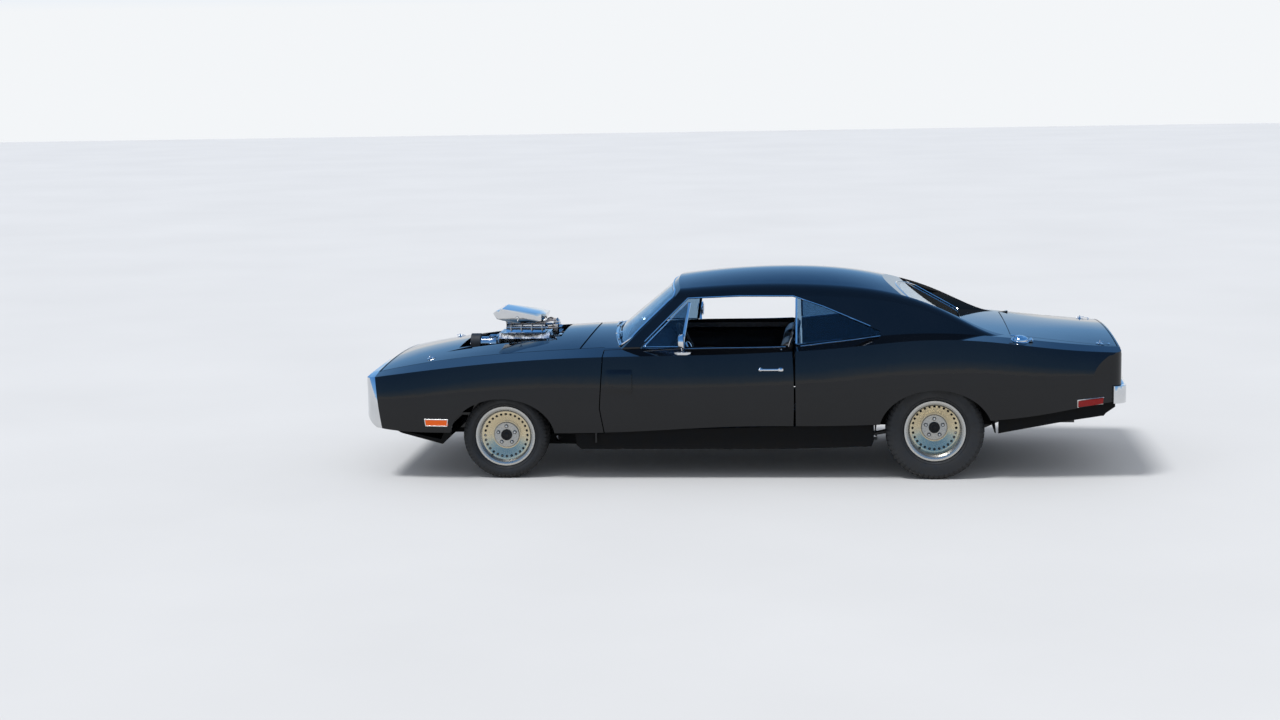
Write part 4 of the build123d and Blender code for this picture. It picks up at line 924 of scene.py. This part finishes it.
def heads_dressing():
    # The valve covers lean out by 20.6 degrees; along runs outwards on their base from its inner edge
    for name, side in SIDES:
        out = vec(0, side * 0.936, -0.351)
        lift = vec(0, side * 0.351, 0.936)

        def on_cover(x, along, height):
            return at(x, side * 180, 756) + out * (along / 1000) + lift * (height / 1000)

        caps = Shape()
        for x in (-130, -20, 110, 240, 350):
            for along in (7, 142):
                caps.bolt(on_cover(x, along, 44), lift, 5, 6)
        for x in (-95, 320):
            caps.knob(on_cover(x, 75, 52), lift, [(0, 20), (8, 20), (10, 30), (34, 31), (38, 27), (38, 8), (42, 6)], 32)
        add("valve_cover_caps_" + name, caps, chrome)
        wires = Shape()
        for k in range(4):
            x = -112 + 92 * k
            wires.pipe([(x, side * 318, 655), (x, side * 350, 668)], 8, 8)
            wires.pipe([(x, side * 350, 668), (x + 12, side * 366, 700), (x + 40, side * 356, 760),
                        (230 + 30 * k, side * 300, 812 + 4 * k), (372 + 8 * k, side * 170, 826 + 4 * k),
                        (455 - 6 * k, side * (60 - 8 * k), 806)], 4.2, 7, 6)
        add("plug_wires_" + name, wires, wire_black)
    cap = Shape()
    cap.knob(at(455, 0, 692), UP, [(0, 50), (22, 52), (52, 60), (84, 52), (92, 30)], 32)
    for spoke in spokes(9, REAR, RIGHT):
        cap.knob(at(455, 0, 776) + spoke * 0.040, UP, [(0, 8), (24, 7)], 10)
    add("distributor", cap, plastic)


# x of the radiator, and the height of its middle, where the fan turns
RADIATOR_X, FAN_Z = -588, 530


def cooling():
    """Radiator between the inner wings, with its fan, shroud and hoses."""
    core = Shape()
    core.box(at(RADIATOR_X, 0, FAN_Z), (42, 560, 330), 3)
    for k in range(38):
        core.box(at(RADIATOR_X, -266 + 14.4 * k, FAN_Z), (50, 3, 318), 1)
    add("radiator_core", core, iron)
    tanks = Shape()
    for side in (-1, 1):
        tanks.box(at(RADIATOR_X, side * 306, FAN_Z), (70, 60, 350), 12)
    tanks.knob(at(RADIATOR_X, 250, 700), UP, [(0, 14), (14, 14), (16, 24), (26, 25), (30, 18)], 24)
    add("radiator_tanks", tanks, cast)

    # The shroud goes over from the core's oblong (square = 1) to the fan's circle (square = 0)
    rings = []
    for x, r, square in ((-562, 255, 1.0), (-548, 250, 0.9), (-520, 196, 0.0), (-492, 188, 0.0), (-492, 182, 0.0),
                         (-522, 188, 0.0), (-546, 244, 0.9), (-560, 250, 1.0)):
        ring = []
        for spoke in spokes(48, RIGHT, UP):
            box = min(1 / max(abs(spoke.y), 1e-3), 0.62 / max(abs(spoke.z), 1e-3))
            reach = r * (1 - square) + 262 * box * square * (r / 255)
            ring.append(at(x, 0, FAN_Z) + spoke * (reach / 1000))
        rings.append(ring)
    shroud = Shape()
    shroud.rings(rings, closed=True)
    add("fan_shroud", shroud, plastic)

    fan = Shape()
    fan.knob(at(-534, 0, FAN_Z), REAR, [(0, 50), (30, 50), (36, 40)], 32)
    for spoke in spokes(7, RIGHT, UP):
        rings = []
        for r, width, twist in ((44, 26, 0.9), (90, 40, 0.7), (140, 50, 0.5), (172, 46, 0.42)):
            chord = (REAR.cross(spoke) * cos(twist) + REAR * sin(twist)) * (width / 2000)
            face = chord.cross(spoke).normalized() * 0.0015
            middle = at(-516, 0, FAN_Z) + spoke * (r / 1000)
            rings.append([middle - chord - face, middle + chord - face, middle + chord + face, middle - chord + face])
        fan.rings(rings)
    for spoke in spokes(3, RIGHT, UP, 0.5):
        fan.box(at(-541, 0, FAN_Z) + spoke * 0.12, (8, 12, 160), 2, (REAR, REAR.cross(spoke), spoke))
    add("cooling_fan", fan, plastic)

    hoses = Shape()
    hoses.pipe([(-560, 300, 660), (-500, 296, 668), (-400, 240, 690), (-290, 190, 700), (-196, 150, 700)], 21, 14, 6)
    hoses.pipe([(-560, -300, 400), (-490, -290, 392), (-390, -230, 400), (-290, -160, 430), (-196, -110, 440)],
               21, 14, 6)
    add("radiator_hoses", hoses, belt_rubber)
    clips = Shape()
    for place in ((-548, 299, 661), (-205, 153, 700), (-548, -299, 400), (-205, -112, 439)):
        clips.washer(at(*place), REAR, (-6, 6), (21.5, 23.5), 24)
    add("hose_clips", clips, chrome)


BATTERY_X, BATTERY_Y, BOOSTER_Y = -300, 415, -400


def bay_fittings():
    battery = Shape()
    battery.box(at(BATTERY_X, BATTERY_Y, 422), (230, 112, 156), 5)
    battery.box(at(BATTERY_X, BATTERY_Y, 506), (236, 116, 16), 4)
    for x in (BATTERY_X - 80, BATTERY_X + 80):
        battery.knob(at(x, BATTERY_Y, 514), UP, [(0, 9), (16, 8)], 14)
    add("battery", battery, plastic)
    metal = Shape()
    metal.box(at(BATTERY_X, BATTERY_Y, 516), (16, 124, 4), 1.5)
    for y in (BATTERY_Y - 60, BATTERY_Y + 60):
        metal.pipe([(BATTERY_X, y, 342), (BATTERY_X, y, 520)], 3, 8)
    metal.knob(at(639, BOOSTER_Y, 690), -REAR, [(0, 66), (34, 72), (40, 74), (46, 72), (80, 58), (86, 30)], 40)
    metal.box(at(512, BOOSTER_Y, 692), (96, 52, 42), 8)
    metal.box(at(512, BOOSTER_Y, 728), (104, 60, 32), 6)
    for x in (486, 538):
        metal.knob(at(x, BOOSTER_Y, 743), UP, [(0, 20), (10, 20), (12, 16)], 24)
    add("brake_booster", metal, cast)
    pipes = Shape()
    pipes.pipe([(500, -374, 690), (470, -350, 640), (480, -420, 500), (300, -464, 380), (60, -470, 350)], 3, 8, 6)
    pipes.pipe([(530, -374, 690), (520, -352, 600), (560, -420, 440), (600, -464, 330), (632, -470, 280)], 3, 8, 6)
    add("brake_pipes", pipes, steel)


for dress in (blower_dressing, injection, pulley_caps, throttles, heads_dressing, cooling, bay_fittings):
    dress()


# Cabin
def inside_point(tree, x, z):
    """The inner face of the left door at (x, z), and the normal towards the cabin."""
    return hit(tree, at(x, -200, z), -RIGHT)


def door_cards():
    xs = spread(800, 1975, 26)
    zs = spread(408, 884, 15)

    def height(i, j):
        roll = 12 * trapezium(zs[j], 690, 720, 34) * trapezium(xs[i], 1060, 1790, 90)
        flute = 2.5 * (0.5 + 0.5 * cos(xs[i] / 14)) * trapezium(zs[j], 470, 640, 30)
        return 4 + roll + flute

    card = Shape()
    card.sheet([[inside_point(door_tree, x, z) for z in zs] for x in xs], height)
    both("door_card", card, leather, "door")

    y = inside_point(door_tree, 1450, 640)[0].y * 1000 + 8
    rings = []
    for x, depth, high in ((1225, 14, 24), (1260, 44, 34), (1320, 56, 40), (1560, 60, 42), (1660, 58, 42),
                           (1700, 40, 36), (1715, 14, 24)):
        z = 622 + (x - 1225) * 0.03
        rings.append([at(x, y, z - high), at(x, y + depth * 0.8, z - high * 0.7), at(x, y + depth, z - high * 0.1),
                      at(x, y + depth * 0.9, z + 4), at(x, y + depth * 0.5, z + 9), at(x, y, z + 8)])
    rest = Shape()
    rest.rings(rings)
    both("armrest", rest, leather, "door")

    fittings = Shape()
    fittings.knob(at(1180, y, 560), RIGHT, [(0, 20), (4, 20), (8, 12), (20, 10)], 24)
    fittings.box(at(1140, y + 22, 548), (100, 8, 16), 3)
    fittings.knob(at(1096, y + 22, 540), RIGHT, [(0, 8), (4, 12), (22, 13), (28, 9)], 20)
    fittings.knob(at(1190, y, 760), RIGHT, [(0, 24), (3, 24), (5, 12), (14, 9)], 24)
    fittings.pipe([(1190, y + 14, 760), (1110, y + 24, 764)], 5, 10)
    fittings.lathe(at(1930, y - 2, 870), UP, [(0, TIP), (0, 5), (26, 4), (30, 6), (34, 6), (36, TIP)], 14)
    both("door_fittings", fittings, chrome, "door")


DRIVER_Y = -370
# y and z of a dial's middle, and its radius
DIALS = ((-455, 744, 44), (-345, 744, 44), (-540, 766, 24), (-540, 714, 24), (-262, 766, 24), (-262, 714, 24))


def dash_dressing():
    """Panels, blank dials with marks alone, knobs and bright strips on the dashboard's leaning face."""
    rims, faces, ticks, panels = Shape(), Shape(), Shape(), Shape()
    normal = vec(0.99, 0, -0.125).normalized()
    rise = vec(0.125, 0, 0.99).normalized()
    axes = (normal, RIGHT, rise)
    panels.box(at(1076, DRIVER_Y, 742) + normal * 0.002, (16, 470, 108), 7, axes)
    panels.box(at(1074, 330, 742) + normal * 0.002, (14, 420, 84), 6, axes)
    panels.box(at(1076, 20, 720), (18, 190, 120), 6, axes)
    add("dash_panels", panels, dark_trim)
    for y, z, r in DIALS:
        middle = at(1076, y, z) + normal * 0.010
        rims.lathe(middle, normal, [(0, r - 3), (0, r + 3), (5, r + 3), (8, r), (5, r - 3)], 40, closed=True)
        faces.knob(middle, normal, [(0, r - 2), (2, r - 2)], 40)
        for turn in spread(-130, 130, 13 if r > 30 else 7):
            spoke = RIGHT * sin(radians(turn)) + rise * cos(radians(turn))
            ticks.box(middle + spoke * ((r - 8) / 1000) + normal * 0.0024, (0.8, 1.6, 7), 0.3,
                      (normal, normal.cross(spoke), spoke))
        needle = RIGHT * sin(-1.9) + rise * cos(-1.9)
        ticks.box(middle + needle * (r * 0.36 / 1000) + normal * 0.0034, (0.8, 1.8, r * 0.74), 0.3,
                  (normal, normal.cross(needle), needle))
        ticks.knob(middle + normal * 0.002, normal, [(0, r * 0.12), (3, r * 0.1)], 16)
    for y in range(-20, 59, 26):
        rims.knob(at(1085, y, 690), normal, [(0, 9), (4, 9), (6, 6), (16, 6)], 20)
    rims.box(at(1086, 20, 748), (6, 150, 42), 3, axes)
    rims.box(at(1083, 330, 776), (5, 410, 5), 2, axes)
    rims.knob(at(1080, 330, 730), normal, [(0, 11), (6, 10), (8, 6)], 24)
    add("dash_rims", rims, chrome)
    add("dial_faces", faces, dial)
    add("dial_marks", ticks, tick)


def steering_dressing():
    """Horn pad, spoke holes and a stitched grip on the steering wheel."""
    lean = radians(24)
    axis = vec(cos(lean), 0, sin(lean))
    lift = vec(-sin(lean), 0, cos(lean))
    hub = at(1074, DRIVER_Y, 760) + axis * 0.205
    horn = Shape()
    horn.lathe(hub - axis * 0.014, axis, [(0, 42.2), (0, 45), (14, 52), (20, 54), (30, 46), (38, 24), (38, TIP)], 36)
    for way in (RIGHT, -RIGHT, -lift):
        for reach in (88, 118, 148):
            horn.washer(hub + way * (reach / 1000) + axis * 0.002, axis, (0, 3.4), (7, 9.5), 20)
    add("horn_pad", horn, polished)
    grip = Shape()
    for spoke in spokes(96, RIGHT, lift):
        grip.box(hub + spoke * (0.188 - 0.0126), (1.0, 2.4, 3.4), 0.4, (spoke, axis.cross(spoke), axis))
    add("grip_stitches", grip, piping)
    stalk = Shape()
    stalk.pipe([(1130, -385, 790), (1128, -460, 800), (1132, -530, 806)], 4, 8, 4)
    stalk.knob(at(1132, -528, 806), -RIGHT, [(0, 6), (16, 7), (20, 5)], 14)
    stalk.lathe(at(1120, DRIVER_Y, 780), axis, [(-30, TIP), (-30, 27), (10, 27), (16, 22), (16, 20.2), (-20, 20.2)], 28)
    add("column_shroud", stalk, plastic)


def centre_fittings():
    console = Shape()
    console.rings([[
        at(x, -half - 8, low), at(x, -half, high - 12), at(x, -half + 12, high), at(x, half - 12, high),
        at(x, half, high - 12), at(x, half + 8, low),
    ] for x, low, high, half in ((1180, 372, 400, 60), (1230, 368, 452, 74), (1420, 360, 452, 78),
                                 (1560, 352, 440, 80), (1790, 338, 432, 80), (1830, 336, 400, 70))])
    add("console", console, plastic)
    lever = Shape()
    lever.pipe([(1330, 0, 446), (1322, -6, 520), (1338, -14, 600), (1346, -16, 646)], 6, 10, 5)
    lever.knob(at(1346, -16, 640), vec(0.1, -0.02, 1), [(0, 9), (8, 14), (28, 23), (44, 22), (54, 12)], 24)
    lever.box(at(1330, 0, 454), (150, 96, 6), 2.5)
    add("shift_lever", lever, chrome)
    boot = Shape()
    boot.knob(at(1328, 0, 456), UP, [(0, 38), (8, 36), (14, 30), (20, 31), (28, 24), (34, 24), (44, 14), (56, 8)], 28)
    add("shift_boot", boot, leather)
    mirror = Shape()
    top = screen_point(0.0, 1.45, 1.2)
    hung = top + vec(0.045, 0, -0.06)
    mirror.tube([top + vec(0.012, 0, -0.012), hung], 5, 10)
    mirror.box(hung + vec(0.010, 0, -0.012), (16, 250, 58), 8)
    add("cabin_mirror", mirror, chrome)
    pedals = Shape()
    for y, wide in ((-470, 60), (-390, 90), (-300, 56)):
        pedals.box(at(742, y, 380), (10, wide, 66), 4, (vec(0.8, 0, 0.6), RIGHT, vec(-0.6, 0, 0.8)))
        pedals.pipe([(738, y, 386), (690, y, 520), (654, y, 600)], 5, 8)
    add("pedals", pedals, plastic)
    belts = Shape()
    for side in (-1, 1):
        for y in (side * 620, side * 140):
            for (x0, z0), (x1, z1) in (((1800, 272), (1790, 470)), ((1790, 470), (1650, 520))):
                start, stop = at(x0, y, z0), at(x1, y * 0.96, z1)
                way = (stop - start).normalized()
                belts.box((start + stop) / 2, (1.6, 46, (stop - start).length * 1000 + 6), 0.6,
                          (way.cross(RIGHT).normalized(), RIGHT, way))
        belts.box(at(1640, side * 360, 524), (54, 60, 14), 4)
    add("seat_belts", belts, cloth_black)


# The carpet's columns stand closer at the tunnel's foot and at the rails
CARPET_Y = [-752, -700, -600, -500, -400, -300, -200, -140, -131, -129, -120, -60, 0, 60, 120, 129, 131, 140, 200, 300,
            400, 500, 600, 700, 752]


def carpet_and_lining():
    under = tree_of("underbody")
    carpet = Shape()
    carpet.sheet([[(hit(under, at(x, y, 620), -UP)[0] or at(x, y, 262), UP) for y in CARPET_Y]
                  for x in spread(664, 2430, 56)], lambda i, j: 5 + 0.8 * sin(i * 1.7 + j))
    add("carpet", carpet, cloth_black)
    lining = Shape()
    lining.sheet([[(hit(shell, at(x, y, 1100), UP)[0] or at(x, y, 1300), -UP) for y in spread(-520, 520, 17)]
                  for x in spread(1265, 2560, 40)], lambda i, j: 6 + 1.2 * cos(i * pi / 5) ** 2)
    add("headlining", lining, lining_cloth)
    visors = Shape()
    for side in (-1, 1):
        place, _ = hit(shell, at(1300, side * 350, 1100), UP)
        visors.box(place + vec(0.02, 0, -0.026), (130, 360, 14), 5, (vec(0.98, 0, 0.19), RIGHT, vec(-0.19, 0, 0.98)))
    add("sun_visors", visors, leather)


def boot_lining():
    mat_shape = Shape()
    mat_shape.sheet([[(at(x, y, 432), UP) for y in spread(-722, 722, 25)] for x in spread(3452, 4086, 14)],
                    lambda i, j: 6 + 1.0 * sin(i * 2.1 + j * 1.3))
    for side in (-1, 1):
        board = [[(at(x, side * (742 + 14 * sin(pi * (z - 430) / 450)), z), vec(0, -side, 0))
                  for z in spread(430, 872, 10)] for x in spread(3452, 4130, 14)]
        mat_shape.sheet(board, lambda i, j: 4 + 0.8 * sin(i * 1.9 + j), -3)
    add("boot_lining", mat_shape, cloth_black)


for dress in (door_cards, dash_dressing, steering_dressing, centre_fittings, carpet_and_lining, boot_lining):
    dress()

SEAT_Y = 383
SEAT_WIDTH, BENCH_WIDTH = 462, 1076
# The pressed pattern: one field to this much of a pad's width, the share of a field and of its length that the
# channels take, millimetres between channels, width of the seam round them, depths of both in metres
FIELD, FIELD_SHARE, LENGTH_SHARE = 470, 0.33, 0.74
CHANNEL, SEAM, CHANNEL_DEPTH, SEAM_DEPTH = 52, 14, 0.005, 0.007
# A point that lies higher than this share of half the thickness belongs to the face
FACE_SHARE = 0.35
FAR = 99
PADS = (
    # name, middle (x, y, z), size along, across and up, lean in degrees, how far the cloth may swell, in mm
    ("seat_cushion_left", (1580, -SEAT_Y, 418), (396, SEAT_WIDTH, 150), 5, 16),
    ("seat_cushion_right", (1580, SEAT_Y, 418), (396, SEAT_WIDTH, 150), 5, 16),
    ("seat_back_left", (1925, -SEAT_Y, 718), (70, SEAT_WIDTH, 420), 14.6, 16),
    ("seat_back_right", (1925, SEAT_Y, 718), (70, SEAT_WIDTH, 420), 14.6, 16),
    ("rear_cushion", (2338, 0, 424), (250, BENCH_WIDTH, 120), 4, 16),
    ("rear_back", (2572, 0, 690), (64, BENCH_WIDTH, 350), 12, 14),
)
VOXEL = 0.014
CLOTH_FRAMES = 20


def settle(obj, cap):
    """Swell the pad as cloth under pressure, with each point kept within cap of where it started."""
    cloth = obj.modifiers.new("swell", "CLOTH")
    cloth.settings.use_pressure = True
    cloth.settings.uniform_pressure_force = 4.0
    cloth.settings.effector_weights.gravity = 0.0
    cloth.settings.quality = 4
    cloth.point_cache.frame_start = 1
    cloth.point_cache.frame_end = CLOTH_FRAMES
    scene = bpy.context.scene
    for number in range(1, CLOTH_FRAMES + 1):
        scene.frame_set(number)
    swollen = obj.evaluated_get(bpy.context.evaluated_depsgraph_get())
    moved = [v.co.copy() for v in swollen.data.vertices]
    obj.modifiers.remove(cloth)
    scene.frame_set(1)
    for vertex, target in zip(obj.data.vertices, moved):
        step = target - vertex.co
        if step.length > cap / 1000:
            step = step.normalized() * (cap / 1000)
        vertex.co += step


def emboss(obj, centre, size, face_way, along, reach):
    """Channels pressed into the middle of the face, with a seam round them."""
    span = size[1] / max(1, round(size[1] / FIELD))
    for vertex in obj.data.vertices:
        rel = vertex.co - centre
        if rel.dot(face_way) < min(size[0], size[2]) / 2000 * FACE_SHARE:
            continue
        across = (rel.y * 1000 + size[1] / 2) % span - span / 2
        beside = abs(across) - span * FIELD_SHARE
        beyond = abs(rel.dot(along) * 1000) - reach * LENGTH_SHARE
        if beside < 0 and beyond < 0:
            channel = abs(sin(pi * across / CHANNEL))
            vertex.co -= face_way * (CHANNEL_DEPTH * (1 - channel) ** 3)
        else:
            border = min(abs(beside) if beyond < 0 else FAR, abs(beyond) if beside < 0 else FAR)
            vertex.co -= face_way * (SEAM_DEPTH * max(0.0, 1 - border / SEAM))


def pad(name, middle, size, lean, cap):
    """A chamfered box turned by its lean, rounded, swollen and embossed. Its face looks up or forward."""
    a = radians(lean)
    u = vec(cos(a), 0, -sin(a))
    w = vec(sin(a), 0, cos(a))
    shape = Shape()
    shape.box(at(*middle), size, min(size) * 0.3, (u, RIGHT, w))
    obj = add(name, shape, leather)
    remesh = obj.modifiers.new("remesh", "REMESH")
    remesh.mode = "VOXEL"
    remesh.voxel_size = VOXEL
    soften = obj.modifiers.new("soften", "SMOOTH")
    soften.iterations = 6
    bpy.context.view_layer.objects.active = obj
    for modifier in ("remesh", "soften"):
        bpy.ops.object.modifier_apply(modifier=modifier)
    settle(obj, cap)
    if size[2] < size[0]:
        emboss(obj, at(*middle), size, w, u, size[0] / 2)
    else:
        emboss(obj, at(*middle), size, -u, w, size[2] / 2)
    sub = obj.modifiers.new("soft", "SUBSURF")
    sub.levels = 1
    sub.render_levels = 1
    bpy.ops.object.modifier_apply(modifier="soft")
    obj.data.shade_smooth()
    return obj


seat_pads = [pad(*row) for row in PADS]
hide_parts("seats")

# The back shell's sections, as (x, z, half its width, thickness), and half the piping's line, as (x, y, z)
BACK_SHELL = ((1904, 300, 225, 30), (1941, 470, 232, 32), (1978, 650, 232, 30), (2012, 820, 226, 28),
              (2032, 925, 200, 22))
PIPING = [(1872, 222, 500), (1912, 230, 660), (1952, 226, 820), (1978, 200, 908), (1992, 130, 940)]


def seat_frames():
    shells = Shape()
    edging = Shape()
    for side in (-1, 1):
        y = side * SEAT_Y
        shells.rings([[
            at(x - thick, y - half, z), at(x - thick * 0.4, y - half * 0.9, z), at(x, y, z),
            at(x - thick * 0.4, y + half * 0.9, z), at(x - thick, y + half, z), at(x - thick, y + half * 0.9, z),
            at(x - thick, y - half * 0.9, z),
        ] for x, z, half, thick in BACK_SHELL])
        for dy in (-190, 190):
            shells.box(at(1600, y + dy, 280), (430, 34, 30), 5)
            shells.box(at(1600, y + dy * 0.98, 312), (380, 22, 40), 5)
        edging.pipe([(x, y - dy, z) for x, dy, z in PIPING] + [(1996, y, 946)]
                    + [(x, y + dy, z) for x, dy, z in reversed(PIPING)], 4.0, 8, 5)
        edging.box(at(1880, y + side * 240, 520), (60, 12, 44), 5)
    add("seat_shells", shells, plastic)
    add("seat_piping", edging, piping)


seat_frames()


# Underside
EXHAUST_Y = 300


def damper(shape, foot, head, radius, rod):
    """A tube over the lower half and a thinner rod over the upper one."""
    foot, head = at(*foot), at(*head)
    shape.tube([foot, foot + (head - foot) * 0.55], radius, 16)
    shape.tube([foot + (head - foot) * 0.5, head], rod, 12)


def running_gear():
    """Torsion bars, dampers, anti-roll bar, spring clips, pipes and exhaust tips."""
    gear, dampers, pipes, tips = Shape(), Shape(), Shape(), Shape()
    for side in (-1, 1):
        gear.pipe([(120, side * 250, 236), (1080, side * 250, 214)], 14, 12)
        gear.box(at(1080, side * 250, 232), (70, 60, 62), 8)
        damper(dampers, (24, side * 560, 262), (36, side * 500, 392), 22, 11)
        damper(dampers, (3040, side * 470, 260), (3120, side * 420, 486), 26, 13)
        for x in (2946, 2998):
            for dy in (-34, 34):
                gear.pipe([(x, side * 560 + dy, 240), (x, side * 560 + dy, 372)], 5, 8)
        tips.lathe(at(2548, side * EXHAUST_Y, 205), REAR, [(0, 30.4), (0, 33), (34, 34), (36, 33), (36, 29.5), (30, 28),
                                                           (6, 28), (6, 30.4)], 36, closed=True)
        for x in (1880, 2400):
            gear.washer(at(x, side * EXHAUST_Y, 204), REAR, (-10, 10), (30.5, 34), 32)
    gear.pipe([(-130, -520, 250), (-230, -440, 262), (-250, -380, 268), (-250, 380, 268), (-230, 440, 262),
               (-130, 520, 250)], 11, 12, 6)
    pipes.pipe([(3490, -250, 330), (3300, -230, 470), (2600, -170, 470), (2450, -170, 244), (800, -170, 244),
                (560, -200, 262)], 4, 8, 4)
    pipes.pipe([(2420, 190, 244), (900, 190, 244)], 3.5, 8)
    add("dampers", dampers, steel)
    add("fuel_and_brake_pipes", pipes, steel)
    add("pipe_tips", tips, chrome)
    add("springs_and_bars", gear, iron)


running_gear()


# Floor, light and camera
floor_mesh = bpy.data.meshes.new("floor")
floor_mesh.from_pydata([(-60, -60, 0), (60, -60, 0), (60, 60, 0), (-60, 60, 0)], [], [(0, 1, 2, 3)])
floor = link("floor", floor_mesh)
floor_mat, floor_tree, floor_bsdf = shader("floor_pale")
wire(floor_tree, floor_bsdf, {
    "Base Color": tint(floor_tree, noise(floor_tree, 0.4), (0.60, 0.60, 0.60), (0.63, 0.63, 0.63)), "Roughness": 0.9,
})
floor_mesh.materials.append(floor_mat)

# The world lights with plain white; the camera, metal and glass see a backdrop that goes from pale to deep blue
SKY = [(0.0, (0.90, 0.92, 0.94)), (0.02, (0.90, 0.92, 0.94)), (0.05, (0.58, 0.75, 0.94)), (0.15, (0.25, 0.53, 0.94)),
       (0.5, (0.11, 0.34, 0.80)), (1.0, (0.06, 0.22, 0.55))]
world = bpy.data.worlds.new("studio")
bpy.context.scene.world = world
world.use_nodes = True
sky = world.node_tree
plain = sky.nodes["Background"]
wire(sky, plain, {"Color": (0.92, 0.95, 1.0, 1), "Strength": 0.75})
elevation = put(sky, "SeparateXYZ", "Z", {"Vector": coords(sky, "Generated")})
backdrop = put(sky, "Background", "Background", {"Color": bands(sky, elevation, SKY), "Strength": 1.0})
seen = put(sky, "LightPath", "Is Camera Ray")
rays = seen.node.outputs
for output in ("Is Glossy Ray", "Is Transmission Ray"):
    seen = put(sky, "Math", "Value", {0: seen, 1: rays[output]}, operation="MAXIMUM")
mix = put(sky, "MixShader", "Shader", {"Fac": seen, 1: plain.outputs["Background"], 2: backdrop})
wire(sky, sky.nodes["World Output"], {"Surface": mix})

sun_data = bpy.data.lights.new("key", "SUN")
sun_data.energy = 2.2
sun_data.angle = radians(14)
sun = link("key", sun_data)
sun.rotation_euler = vec(-0.32, -0.28, 0.9).to_track_quat("Z", "Y").to_euler()

# The photograph's camera, as it was fitted
YAW, PITCH, ROLL = radians(5.82), radians(8.14), radians(-1.1)
FOCAL_PIXELS, PICTURE_PIXELS, SENSOR = 2199, 1280, 36
EYE = vec(FRONT_AXLE + 2.478, -15.779, 2.978)
ahead = vec(-sin(YAW) * cos(PITCH), cos(YAW) * cos(PITCH), -sin(PITCH))
right = vec(cos(YAW), sin(YAW), 0)
up = right.cross(ahead)
cam_x = right * cos(ROLL) + up * sin(ROLL)
cam_y = up * cos(ROLL) - right * sin(ROLL)
cam_data = bpy.data.cameras.new("camera")
cam_data.lens = FOCAL_PIXELS / PICTURE_PIXELS * SENSOR
cam_data.sensor_width = SENSOR
cam_data.clip_end = 500
camera = link("camera", cam_data)
camera.matrix_world = Matrix((
    (cam_x.x, cam_y.x, -ahead.x, EYE.x),
    (cam_x.y, cam_y.y, -ahead.y, EYE.y),
    (cam_x.z, cam_y.z, -ahead.z, EYE.z),
    (0, 0, 0, 1),
))
bpy.context.scene.camera = camera
bpy.context.scene.view_settings.view_transform = "Standard"
